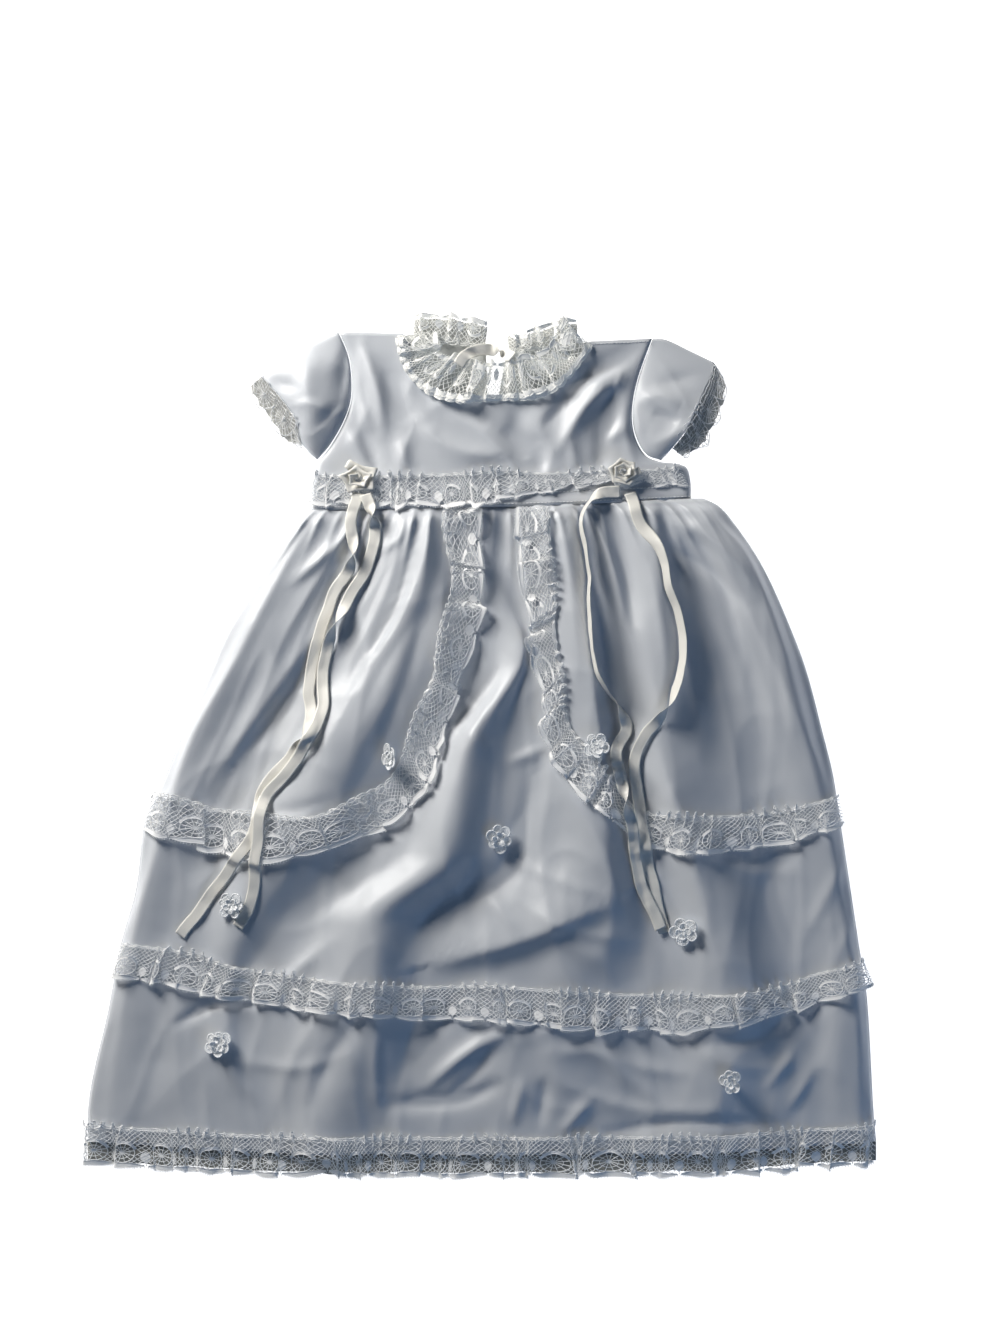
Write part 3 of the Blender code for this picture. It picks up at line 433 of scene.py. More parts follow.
def unit_grid(rows, columns):
    """Two grids of shares, one along the columns and one along the rows."""
    return np.meshgrid(np.linspace(0, 1, columns), np.linspace(0, 1, rows))


def rows_at(grid, spots):
    """The grid's rows at these places, counted from its first row and filled in between them."""
    low = np.minimum(spots.astype(int), len(grid) - 2)
    f = (spots - low)[:, None, None]
    return grid[low] * (1 - f) + grid[low + 1] * f


def finer(grid, times=5):
    return rows_at(grid, np.arange((len(grid) - 1) * times + 1) / times)


def creased(creases, x, y):
    """What the creases add at each point: soft ridges and troughs, steeper on the narrow side, fading at the
    ends."""
    total = np.zeros(x.shape)
    for crease in creases:
        path = Path(crease.line)
        shares = np.linspace(0, 1, 40)
        line, side = path.at(shares), path.left_of(shares)
        reach = 3 * max(crease.left, crease.right)
        (low_x, low_y), (high_x, high_y) = line.min(axis=0) - reach, line.max(axis=0) + reach
        near = (x > low_x) & (x < high_x) & (y > low_y) & (y < high_y)
        spots = joined(x[near], y[near])
        away = spots[:, None, :] - line[None, :, :]
        distance = np.linalg.norm(away, axis=-1)
        nearest = distance.argmin(axis=1)
        rows = np.arange(len(spots))
        distance = distance[rows, nearest]
        left = (away[rows, nearest] * side[nearest]).sum(axis=-1) > 0
        width = np.where(left, crease.left, crease.right)
        fade = np.sin(np.pi * (0.06 + 0.88 * shares[nearest])) ** 0.8
        total[near] += crease.height * fade * bell(distance / width, 1.7)
    return total


def wrinkled(x, y, z, size, height):
    """Smooth uneven swelling of the cloth, about this many millimetres from one rise to the next."""
    points = joined(x, y, z).reshape(-1, 3) / size
    values = [noise.noise(Vector(p)) for p in points.tolist()]
    return height * np.array(values).reshape(x.shape)


def ridged(x, y, z, size, height):
    """Narrow crests that run and branch through the cloth, about this many millimetres apart."""
    return height * np.maximum(0, 1 - np.abs(wrinkled(x, y, z, size, 3.2))) ** 1.6


# Meshes


def world(points):
    return (np.asarray(points, float) - (MIDDLE_X, MIDDLE_Y, 0.0)) * MM


def piece(name, points, faces, material, node, slot=None):
    """A mesh from points in the tables' millimetres, which stands for this node of the part. The slot
    argument is not used."""
    mesh = bpy.data.meshes.new(name)
    mesh.from_pydata(world(points).reshape(-1, 3).tolist(), [], faces.tolist())
    mesh.materials.append(material)
    mesh.shade_smooth()
    made = bpy.data.objects.new(name, mesh)
    bpy.context.scene.collection.objects.link(made)
    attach(made, "root")
    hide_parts(node)
    return made


def grid_faces(rows, columns, closed=False):
    row, column = np.meshgrid(np.arange(rows - 1), np.arange(columns - (not closed)), indexing="ij")
    here, after = row * columns + column, row * columns + (column + 1) % columns
    return np.stack([here, after, after + columns, here + columns], axis=-1).reshape(-1, 4)


def facing(grid, closed=False):
    """The grid's faces, looking up, or away from its middle where its columns close into a ring."""
    faces = grid_faces(*grid.shape[:2], closed)
    points = grid.reshape(-1, 3)
    a, b, c = (points[faces[:, k]] for k in range(3))
    way = np.cross(b - a, c - a)
    right_way = (way * (a - points.mean(axis=0))).sum() > 0 if closed else way[:, 2].sum() >= 0
    return faces if right_way else faces[:, ::-1]


def shell(name, grid, material, slot=None, closed=False, thickness=SHELL, side=-1):
    """Cloth from a grid of points, with a thin wall under them."""
    made = piece(name + "_cloth", grid, facing(grid, closed), material, name, slot)
    wall = made.modifiers.new("wall", "SOLIDIFY")
    wall.thickness = thickness * MM
    wall.offset = side
    return made


class Relief:
    """The highest point laid so far over each square millimetre of the plan."""

    LEFT, BOTTOM, WIDE, TALL = -300, -325, 610, 650

    def __init__(self, height=None):
        self.height = np.zeros((self.TALL, self.WIDE)) if height is None else height

    def add(self, grid):
        """Lays a grid of points, filled in between them."""
        flat = finer(finer(grid).transpose(1, 0, 2)).transpose(1, 0, 2).reshape(-1, 3)
        column = np.clip((flat[:, 0] - self.LEFT).astype(int), 0, self.WIDE - 1)
        row = np.clip((flat[:, 1] - self.BOTTOM).astype(int), 0, self.TALL - 1)
        np.maximum.at(self.height, (row, column), flat[:, 2])

    def covered(self, reach):
        """The highest height within reach of each spot, softened."""
        height = self.height
        for axis in (0, 1):
            shifts = [np.roll(height, k, axis=axis) for k in range(-reach, reach + 1)]
            height = np.maximum.reduce(shifts)
        for axis in (0, 1, 0, 1):
            height = (np.roll(height, 1, axis) + 2 * height + np.roll(height, -1, axis)) / 4
        return Relief(height)

    def at(self, x, y):
        column = np.clip(x - self.LEFT - 0.5, 0, self.WIDE - 1.001)
        row = np.clip(y - self.BOTTOM - 0.5, 0, self.TALL - 1.001)
        c, r = column.astype(int), row.astype(int)
        fc, fr = column - c, row - r
        low = self.height[r, c] * (1 - fc) + self.height[r, c + 1] * fc
        high = self.height[r + 1, c] * (1 - fc) + self.height[r + 1, c + 1] * fc
        return low * (1 - fr) + high * fr


# Materials


def fill(node, inputs):
    """Gives a node's inputs their values, or links other nodes' outputs to them."""
    for name, value in inputs.items():
        if isinstance(value, bpy.types.NodeSocket):
            node.id_data.links.new(value, node.inputs[name])
        else:
            node.inputs[name].default_value = value
    return node.outputs


def cloth_material(name, colour, roughness, sheen, thread, bump, painted_glow=0.0):
    """Cloth whose colour, gloss and relief vary as a weave of this thread width does. The glow is painted
    light: a faint bluish emission that brightens thin threads in place of the light that passes through
    them."""
    material = bpy.data.materials.new(name)
    material.use_nodes = True
    nodes = material.node_tree.nodes
    size = thread * MM
    add = lambda kind, inputs: fill(nodes.new("ShaderNode" + kind), inputs)
    place = nodes.new("ShaderNodeTexCoord").outputs["Object"]

    patches = add("TexNoise", {"Vector": place, "Scale": 22.0, "Detail": 3.0})["Fac"]
    ramp = nodes.new("ShaderNodeValToRGB")
    for stop, position, shade in zip(ramp.color_ramp.elements, (0.3, 0.7), (0.97, 1.0)):
        stop.position = position
        stop.color = (*[c * shade for c in colour], 1.0)

    stretched = add("Mapping", {"Vector": place, "Scale": (1 / size, 0.12 / size, 1 / size)})["Vector"]
    streaks = add("TexNoise", {"Vector": stretched, "Scale": 1.0, "Detail": 2.0})["Fac"]
    weft = nodes.new("ShaderNodeTexWave")
    weft.bands_direction = "Y"
    fill(weft, {"Vector": place, "Scale": 0.314 / size, "Distortion": 1.5, "Detail Scale": 3.0})
    both = add("Math", {0: streaks, 1: weft.outputs["Fac"]})["Value"]
    gloss = {"Value": streaks, "To Min": roughness - 0.05, "To Max": roughness + 0.07}
    fill(nodes["Principled BSDF"], {
        "Base Color": fill(ramp, {"Fac": patches})["Color"],
        "Roughness": add("MapRange", gloss)["Result"],
        "Normal": add("Bump", {"Height": both, "Strength": bump, "Distance": 0.25 * size})["Normal"],
        "Metallic": 0.0,
        "Sheen Weight": sheen,
        "Sheen Roughness": 0.4,
        # Painted light: the emission below makes thin threads glow, in place of light passing through them
        "Emission Color": (0.8, 0.9, 1.0, 1.0),
        "Emission Strength": painted_glow,
    })
    return material


SATIN_WHITE = cloth_material("white_satin", (0.66, 0.685, 0.725), 0.34, 0.3, 0.35, 0.25)
SATIN_INSIDE = cloth_material("satin_inside", (0.62, 0.63, 0.61), 0.6, 0.1, 0.4, 0.3)
# Painted light: the white lace glows a little, for light that passes through its threads
LACE_WHITE = cloth_material("white_lace", (0.94, 0.94, 0.94), 0.8, 0.1, 0.3, 0.6, painted_glow=0.05)
# Painted shade: a dark grey copy of the white lace, for the hem's back layer, which lies in the gown's shade
LACE_IN_PAINTED_SHADE = cloth_material("shaded_lace", (0.36, 0.36, 0.33), 0.9, 0.1, 0.3, 0.6)
# Painted shade: a grey copy of the lace, for lower layers seen through the upper threads' holes
LACE_UNDER_PAINTED_SHADE = cloth_material("lower_lace", (0.60, 0.60, 0.57), 0.9, 0.1, 0.3, 0.6)
# Painted light: the cream lace glows a little, for light that passes through its threads
LACE_CREAM = cloth_material("cream_lace", (0.97, 0.96, 0.92), 0.8, 0.1, 0.3, 0.6, painted_glow=0.09)
RIBBON_CREAM = cloth_material("cream_ribbon", (0.90, 0.88, 0.82), 0.34, 0.15, 0.3, 0.3)
# Painted light: the guipure glows a little, for light that passes through its cords
GUIPURE = cloth_material("guipure", (0.94, 0.95, 0.96), 0.75, 0.1, 0.3, 0.6, painted_glow=0.06)

SLOTS = {
    SATIN_WHITE: "white_satin", SATIN_INSIDE: "white_satin", LACE_WHITE: "white_lace",
    LACE_IN_PAINTED_SHADE: "white_lace", LACE_CREAM: "cream_lace", RIBBON_CREAM: "cream_ribbon", GUIPURE: "guipure",
}


# Panels


def skirt_sides(down):
    return [smooth_value(SKIRT_SIDES.down, side, down) for side in (SKIRT_SIDES.left, SKIRT_SIDES.right)]


def skirt_plan(u, v):
    left, right = skirt_sides(v * SKIRT_LENGTH)
    waist = smooth_value(WAIST_SHARE, WAIST_Y, u) + 0.5
    hem = smooth_value(HEM_SHARE, HEM_Y, u)
    return left + (right - left) * u, waist + (hem - waist) * v


def fold_heights(x, v):
    """The height of the part's folds, row by row."""
    heights = np.empty(x.shape)
    for row, down in enumerate(v[:, 0] * SKIRT_LENGTH):
        left, right = skirt_sides(down)
        places = [left] + [smooth_value(FOLD_DOWN, fold.across, down) for fold in FOLDS] + [right]
        tops = [smooth_value(FOLD_DOWN, fold.height, down) for fold in FOLDS]
        tops = np.array([SIDE_SEAM_HEIGHT] + tops + [SIDE_SEAM_HEIGHT])
        places = np.array(places)
        span = np.clip(np.searchsorted(places, x[row], side="right") - 1, 0, len(places) - 2)
        f = (x[row] - places[span]) / (places[span + 1] - places[span])
        low, high = np.minimum(tops[span], tops[span + 1]), np.maximum(tops[span], tops[span + 1])
        rising = tops[span + 1] > tops[span]
        sharpness = np.where(rising, LIT_SIDE_SHARPNESS, SHADED_SIDE_SHARPNESS)
        heights[row] = low + (high - low) * ease(np.where(rising, f, 1 - f)) ** sharpness
    return heights


def gathers(x, v):
    """Small uneven pleats that fan out from the waist seam."""
    chance = np.random.default_rng(5)
    down = v * SKIRT_LENGTH
    left, right = skirt_sides(down)
    total = np.zeros(x.shape)
    rise = 0.7 + 0.3 * ease(down / 9)
    for k in range(GATHERS):
        share = (k + 0.5 + chance.uniform(-0.3, 0.3)) / GATHERS
        height, length = chance.uniform(1.6, 4.6), chance.uniform(16, 85)
        width = chance.uniform(2.0, 4.2) * (0.8 + down / 60)
        lean = chance.uniform(-0.12, 0.12) * down
        away = np.abs(x - left - (right - left) * share - lean) / width
        total += height * bell(away, 1.35) * bell(down / length, 1.4) * rise
    return total


def side_rolled(z, x, left, right, low=1.5, reach=6.0):
    """The cloth's sides turned down to the back."""
    inside = np.clip(np.minimum(x - left, right - x) / reach, 0, 1)
    return low + (z - low) * np.sqrt(1 - (1 - inside) ** 2)


def skirt_front_grid():
    u, v = unit_grid(int(SKIRT_LENGTH / GRID_STEP), 232)
    x, y = skirt_plan(u, v)
    z = fold_heights(x, v) + gathers(x, v) + CREASE_STRENGTH * creased(SKIRT_CREASES, x, y)
    z += wrinkled(u * 21, v * 3.2, 0, 1.0, 0.75) * np.minimum(1, 0.3 + v * 3)
    z += ridged(u * 7, v * 2.0, 3, 1.0, 1.5) + ridged(u * 15, v * 3.4, 8, 1.0, 0.7)
    z += wrinkled(x, y, 0, 34, 0.7) + ridged(x, y, 30, 60, 0.7) + wrinkled(x, y, 50, 12, 0.15)
    seam = SIDE_SEAM_HEIGHT + 3.6 * np.sin(np.pi * np.clip((u - 0.03) / 0.93, 0, 1)) ** 0.7 - 0.3
    z = seam + (z - seam) * (0.35 + 0.65 * ease(v * SKIRT_LENGTH / 9))
    left, right = skirt_sides(v * SKIRT_LENGTH)
    z = side_rolled(np.maximum(z, 2.2), x, left, right)
    return joined(x, y, z)


def skirt_back_grid():
    u, v = unit_grid(60, 60)
    x, y = skirt_plan(u, v)
    z = 1.0 + wrinkled(x, y, 0, 40, 0.25)
    return joined(x, y, z)


def waist_path(left, right):
    places = np.linspace(left, right, 7)
    first, last = skirt_sides(0.0)
    return Path(joined(places, smooth_value(WAIST_SHARE, WAIST_Y, (places - first) / (last - first))))


BODICE_LEFT, BODICE_RIGHT = -121.4, 147.5
WAIST = waist_path(BODICE_LEFT, BODICE_RIGHT)
SIDE_LEFT = Path((tuple(WAIST.at(0.0)), (-120.5, 188), (-117, 201)))
SIDE_RIGHT = Path((tuple(WAIST.at(1.0)), (147, 188), (142.5, 198), (126, 200.5)))
LEFT_EDGE = Joined((1 / 3, SIDE_LEFT), (1.0, Path(SLEEVES[0].armhole)))
RIGHT_EDGE = Joined((1 / 3, SIDE_RIGHT), (1.0, Path(SLEEVES[1].armhole)))
SHOULDER_LEFT = Path(((-102, 292.5), (-55.4, 291.0)))
SHOULDER_RIGHT = Path(((75, 285.5), (120, 287.9)))
FRONT_NECK = Path(
    ((-55.4, 291), (-53.5, 270), (-42, 256), (-20, 248.5), (8.5, 246.5), (40, 252), (62, 266), (75, 285.5))
)
BACK_NECK_LEFT = Path(((-55.4, 291), (-28, 290.5), (2.2, 283)))
BACK_NECK_RIGHT = Path(((17, 281), (45, 283), (75, 285.5)))
PLACKET_LEFT = Path((tuple(waist_path(BODICE_LEFT, 4.0).at(1.0)), (3.5, 230), (2.2, 283)))
PLACKET_RIGHT = Path((tuple(waist_path(5.0, BODICE_RIGHT).at(0.0)), (9, 230), (17, 281)))


def bodice_front_grid():
    s, t = unit_grid(58, 116)
    top = Joined((0.25, SHOULDER_LEFT), (0.75, FRONT_NECK), (1.0, SHOULDER_RIGHT))
    x, y = split(patch(WAIST, top, LEFT_EDGE, RIGHT_EDGE, s, t))
    inside = (x - x[:, :1]) / (x[:, -1:] - x[:, :1])
    body = np.sin(np.pi * np.clip(inside, 0.0, 1.0)) ** 0.7
    z = SIDE_SEAM_HEIGHT + 3.6 * body * (1 - 0.35 * np.clip((y - 168) / 122, 0, 1))
    z += BODICE_CREASE_STRENGTH * creased(BODICE_CREASES, x, y) * np.minimum(1, 3 * body)
    z += (wrinkled(x, y, 9, 30, 0.9) + ridged(x, y, 5, 44, 1.5)) * body
    z += wrinkled(x, y, 0, 9, 0.12)
    z += 0.9 * bell((t * 110 - 3.0) / 4.0)
    z = np.where(z < 4.0, 2.4 + 1.6 * np.exp(np.minimum(z - 4.0, 0) / 1.6), z)
    z = side_rolled(z, x, x[:, :1], x[:, -1:])
    return joined(x, y, z)


def bodice_back_grid(waist, top, left, right):
    x, y = split(patch(waist, top, left, right, *unit_grid(40, 40)))
    return joined(x, y, 1.0 + wrinkled(x, y, 4, 22, 0.35))


def sleeve_grid(cut):
    """A flattened tube: its upper half from the shoulder to the underarm, then its lower half back."""
    u, k = unit_grid(36, 46)
    armhole, cuff, top, under = (Path(p) for p in (cut.armhole, cut.cuff, cut.top, cut.under))
    start, end = armhole.at(1 - u), cuff.at(u)
    u1, k1 = u[..., None], k[..., None]
    corners = armhole.at(np.array([1.0, 0.0])), cuff.at(np.array([0.0, 1.0]))
    plan = start * (1 - k1) + end * k1
    plan += (top.at(k) - corners[0][0] * (1 - k1) - corners[1][0] * k1) * (1 - u1)
    plan += (under.at(k) - corners[0][1] * (1 - k1) - corners[1][1] * k1) * u1
    plan[..., 0] += cut.shift
    plan[..., 1] += 1.1 * u * u
    x, y = split(plan)
    body = np.sin(np.pi * u**cut.crown) ** 0.55
    full = 1.6 + cut.puff * np.sin(np.pi * k) ** 0.8 + cut.rise * k
    z = 1.4 + full * body + CREASE_STRENGTH * creased(cut.creases, x, y) * body
    z += (wrinkled(x, y, 2, 20, 0.9) + ridged(x, y, 7, 28, 0.9)) * body
    z -= 1.5 * np.exp(-k * 45 / 2.5) * body
    upper, lower = joined(x, y, z), joined(x, y, 0.6)
    lower[:, 0, 2] = lower[:, -1, 2] = 1.0
    return upper, np.concatenate([upper, lower[:, ::-1]], axis=1)


# Lace: drawn flat, along its length and across its width, and then laid on a ruffled grid


def around(x, y, radius, angles):
    return [(x + radius * math.cos(a), y + radius * math.sin(a)) for a in angles]


class Threads:
    """Threads and cloth patches of a lace, in flat millimetres: along it, and across it from its heading."""

    def __init__(self, width=0.0):
        self.width = width
        self.starts, self.ends, self.radii, self.patches = [], [], [], []

    def line(self, points, radius):
        for a, b in zip(points, points[1:]):
            self.starts.append(a)
            self.ends.append(b)
            self.radii.append(radius)

    def ring(self, x, y, radius, steps, thickness):
        self.line(around(x, y, radius, np.linspace(0, 2 * math.pi, steps + 1)), thickness)

    def patch(self, inner, outer, rows=3):
        shares = np.linspace(0, 1, rows)[:, None, None]
        self.patches.append(np.array(inner) * (1 - shares) + np.array(outer) * shares)


def edge_at(a, width):
    """The wide lace's free edge: its distance from the heading, with a scallop for each repeat."""
    return width - EDGE_DEPTH * (1 - abs(math.sin(math.pi * a / REPEAT)) ** 0.8)


def cluny(width, tape=0.0):
    """One repeat of the wide lace: diamond net, a spoked wheel and a solid scallop with picots."""
    threads = Threads(width)
    if tape:
        along = np.linspace(0, REPEAT, 17)
        threads.patch([(a, 0.2) for a in along], [(a, tape) for a in along], rows=4)
    for across in (0.4, 2.0):
        threads.line([(REPEAT * k / 16, across) for k in range(17)], 0.4)
    for k in range(16):
        a = REPEAT * k / 16
        threads.line([(a, 0.4), (a + REPEAT / 32, 2.0), (a + REPEAT / 16, 0.4)], 0.24)
    wheel = min(8.0, (width - 6) * 0.3)
    wheel_x, wheel_y = REPEAT / 2, width - 4.2 - wheel
    step = REPEAT / 14
    for i in range(14):
        for j in range(int((width - 2) / step)):
            if (i + j) % 2:
                continue
            for side in (-1, 1):
                a, b = i * step, 2.2 + j * step
                x, y = (a + side * step / 2) % REPEAT, b + step / 2
                clear = wheel + (1.6 if y < wheel_y else 0.2)
                if math.hypot(x - wheel_x, y - wheel_y) > clear and y < edge_at(x, width) - 3.0:
                    threads.line([(a, b), (a + side * step, b + step)], 0.3)
    for k in range(12):
        angle = [2 * math.pi * (k + 0.5) / 12]
        spoke = around(wheel_x, wheel_y, 1.3, angle) + around(wheel_x, wheel_y, wheel, angle)
        threads.line(spoke, 0.36)
    threads.ring(wheel_x, wheel_y, wheel, 22, 0.42)
    threads.ring(wheel_x, wheel_y, wheel * 0.6, 16, 0.26)
    hub = around(wheel_x, wheel_y, 1.7, np.linspace(0, 2 * math.pi, 11))
    threads.patch([(wheel_x, wheel_y)] * len(hub), hub, rows=2)
    inner, outer = [], []
    for k in range(15):
        a = REPEAT * (0.03 + 0.94 * k / 14)
        edge = edge_at(a, width)
        depth = 0.9 + 2.9 * math.sin(math.pi * k / 14) ** 0.7
        inner.append((a, edge - depth))
        outer.append((a, edge))
    threads.patch(inner, outer)
    threads.line(inner, 0.3)
    threads.line(outer, 0.34)
    top, foot = width - 14.0, width - 4.2
    half = [(0.0, top), (-2.2, top + 2.5), (-2.4, foot - 3.5), (0.0, foot)]
    threads.patch(half, [(-a, b) for a, b in half])
    crown = np.linspace(1.12 * math.pi, 1.88 * math.pi, 11)
    threads.patch(*[around(wheel_x, wheel_y, wheel + out, crown) for out in (0.3, 2.0)], rows=2)
    threads.line([(0.0, foot), (0.0, edge_at(0, width))], 0.34)
    for k in range(18):
        a = REPEAT * (k + 0.5) / 18
        edge = edge_at(a, width)
        threads.line([(a, edge), (a, edge + 1.5)], 0.25)
    return threads


def fan(width):
    """One repeat of the cuffs' lace: ladder headings and a fan of spokes with a scalloped edge."""
    threads = Threads(width)
    for across in (0.4, 1.7, 3.0, 4.3):
        threads.line([(REPEAT * k / 8, across) for k in range(9)], 0.24)
    for k in range(12):
        a = REPEAT * k / 12
        threads.line([(a, 0.4), (a + REPEAT / 24, 4.3)], 0.18)
    for side in (0, 1):
        threads.line([(REPEAT * side, 4.3), (REPEAT * side, 7.0)], 0.3)
    for k in range(11):
        angle = math.pi * k / 10
        rim = (REPEAT / 2 + REPEAT * 0.48 * math.cos(angle), 5.2 + (width - 5.2) * math.sin(angle))
        threads.line(around(REPEAT / 2, 5.0, 1.2, [angle]) + [rim], 0.22)
    for share, thickness in ((0.62, 0.2), (1.0, 0.34)):
        angles = np.linspace(0, math.pi, 15)
        reach = REPEAT * 0.48 * share
        arc = [(REPEAT / 2 + reach * math.cos(a), 5.2 + (width - 5.2) * share * math.sin(a)) for a in angles]
        threads.line(arc, thickness)
    threads.ring(REPEAT / 2, 5.0, 0.7, 8, 0.6)
    return threads


def on_grid(grid, s, t):
    """Points of the grid at these shares along and across it, and the upward normals there."""
    rows, columns = grid.shape[:2]
    c, r = s * (columns - 1), t * (rows - 1)
    ci, ri = np.clip(c.astype(int), 0, columns - 2), np.clip(r.astype(int), 0, rows - 2)
    fc, fr = (c - ci)[..., None], (r - ri)[..., None]
    a, b = grid[ri, ci], grid[ri, ci + 1]
    d, e = grid[ri + 1, ci], grid[ri + 1, ci + 1]
    along = (b - a) * (1 - fr) + (e - d) * fr
    across = (d - a) * (1 - fc) + (e - b) * fc
    normal = np.cross(along, across)
    normal *= np.where(normal[..., 2:] < 0, -1, 1)
    return a + fc * (b - a) + fr * (d - a) + fc * fr * (a - b - d + e), unit(normal)


def tubes(starts, ends, normals, radii):
    """Three-sided threads from point to point."""
    way = ends - starts
    side = unit(np.cross(way, normals))
    up = unit(np.cross(side, way))
    corners = []
    for point in (starts, ends):
        for angle in (90, 210, 330):
            a = math.radians(angle)
            corners.append(point + radii[:, None] * (side * math.cos(a) + up * math.sin(a)))
    points = np.stack(corners, axis=1).reshape(-1, 3)
    first = np.arange(len(starts))[:, None] * 6
    faces = [first + np.array(q) for q in ((0, 3, 4, 1), (1, 4, 5, 2), (2, 5, 3, 0))]
    return points, np.stack(faces, axis=1).reshape(-1, 4)


def lace_mesh(grid, pattern, flat_length):
    """The pattern's repeats laid along the grid, as points and faces."""
    count = max(1, round(flat_length / REPEAT))
    whole = np.array([count * REPEAT, pattern.width])
    shifts = (np.arange(count) * REPEAT)[:, None, None] * np.array([1.0, 0.0])
    a, b = (((np.array(ends) + shifts) / whole).reshape(-1, 2) for ends in (pattern.starts, pattern.ends))
    kept = (np.maximum(a[:, 0], b[:, 0]) <= 1) & (np.minimum(a[:, 0], b[:, 0]) >= 0)
    radii = np.tile(np.array(pattern.radii), count)[kept]
    p, normal = on_grid(grid, *a[kept].T)
    q, _ = on_grid(grid, *b[kept].T)
    lift = normal * (0.3 + 0.3 * radii[:, None])
    points, faces = tubes(p + lift, q + lift, normal, radii)
    all_points, all_faces, start = [points], [faces], len(points)
    for flat in pattern.patches:
        tiles = (flat[None] + shifts[:, None]) / whole
        for tile in tiles:
            if tile[..., 0].min() < 0 or tile[..., 0].max() > 1:
                continue
            spots, up = on_grid(grid, tile[..., 0], tile[..., 1])
            all_points.append((spots + up * 0.4).reshape(-1, 3))
            all_faces.append(grid_faces(*tile.shape[:2]) + start)
            start += tile.shape[0] * tile.shape[1]
    return np.concatenate(all_points), np.concatenate(all_faces)


def pressed(x, y):
    """How much of a fold's height is left near the flowers, which hold the lace down."""
    left = np.ones(x.shape)
    for bloom in FLOWERS:
        left *= 1 - 0.85 * bell(np.hypot(x - bloom.x, y - bloom.y) / 14, 4)
    return left


def ruffled(heading, free, ruffles, height, lean, base_at, seed, rows=11, popcorn=2.1, box=2.4):
    """A strip of cloth from its heading to its free edge. Its folds are uneven, grow towards the free edge
    and lie over to one side or the other, and small gathers run along the heading."""
    s, t = unit_grid(rows, max(ruffles * 14, int(free.length / 1.1)) + 1)
    chance = np.random.default_rng(int(100 + 10 * seed))
    start, end = heading.at(s), free.at(s)
    across = unit(end - start)
    along = joined(across[..., 1], -across[..., 0])
    wave, lie, out = np.zeros((3, *s.shape))
    spacing = free.length / ruffles
    for count, size in ((ruffles, 1.0), (2 * ruffles, 0.42)):
        for k in range(count):
            centre = (k + 0.5 + chance.uniform(-0.3, 0.3)) / count
            half = chance.uniform(0.24, 0.46) / count
            grown = t ** chance.uniform(0.1, 0.8)
            fold = size * chance.uniform(0.35, 1.25) * grown * bell(np.abs((s - centre) / half), box)
            wave += fold
            lie += fold * chance.choice((-1.0, 1.0)) * chance.uniform(0.3, 1.0)
            out += fold * chance.uniform(-1.0, 1.0)
    wave = RUFFLE_LIMIT * np.tanh(wave / RUFFLE_LIMIT)
    plan = start * (1 - t[..., None]) + end * t[..., None]
    plan += along * (lean * spacing * lie)[..., None] + across * (2.4 * out)[..., None]
    small = 2 * np.pi * heading.length * s / 7.0 + 1.9 * np.sin(heading.length * s / 17 + seed)
    top = popcorn * bell(t / 0.24) * (0.55 + 0.45 * np.sin(heading.length * s / 11 + 3 * seed))
    plan -= across * (1.2 * top * (1 + np.cos(small)))[..., None]
    plan += along * (1.5 * top * np.sin(small))[..., None]
    x, y = split(plan)
    z = base_at(x, y) + height * (wave * pressed(x, y)) + 0.8 * top * (1 + np.sin(small + 1))
    return joined(x, y, z)


def shade_layer(name, grid, reach, height, slot):
    """The gathered lace's own lower layers, which show through its holes: a flat sheet coloured grey as
    painted shade.
    """
    layer = rows_at(grid, np.linspace(0, reach, len(grid)) * (len(grid) - 1))
    layer[..., 2] = height
    return piece(name + "_shade", layer, facing(layer), LACE_UNDER_PAINTED_SHADE, name, slot)


def add_lace(name, grid, pattern, flat_length, material):
    made = piece(name + "_threads", *lace_mesh(grid, pattern, flat_length), material, name)


def strip_lace(strip, relief, pattern, material, lowest, seed, shaded=False):
    """A lace strip on what was laid before it, over a grey sheet of painted shade when shaded. Its grid goes
    into the relief.
    """
    heading, free = Path(strip.heading), Path(strip.free)
    ground = relief.covered(2)
    base = lambda x, y: np.maximum(ground.at(x, y), lowest) + 0.4
    grid = ruffled(heading, free, strip.ruffles, RUFFLE_STRENGTH * strip.height, RUFFLE_LEAN, base, seed)
    if shaded:
        shade_layer(strip.name, grid, reach=0.8, height=0.6, slot=SLOTS[material])
    add_lace(strip.name, grid, pattern, heading.length * strip.fullness, material)
    relief.add(grid + LACE_TOP)


LACE_TOP = np.array([0.0, 0.0, 0.7])
WIDE_LACE, FAN_LACE = cluny(LACE_WIDTH), fan(12.0)


# Ribbons, roses and flowers


def ribbon_sheet(name, grid):
    """A length of satin ribbon in millimetres, laid along the grid."""
    made = shell(name, grid, RIBBON_CREAM, thickness=RIBBON_SHELL, side=0)


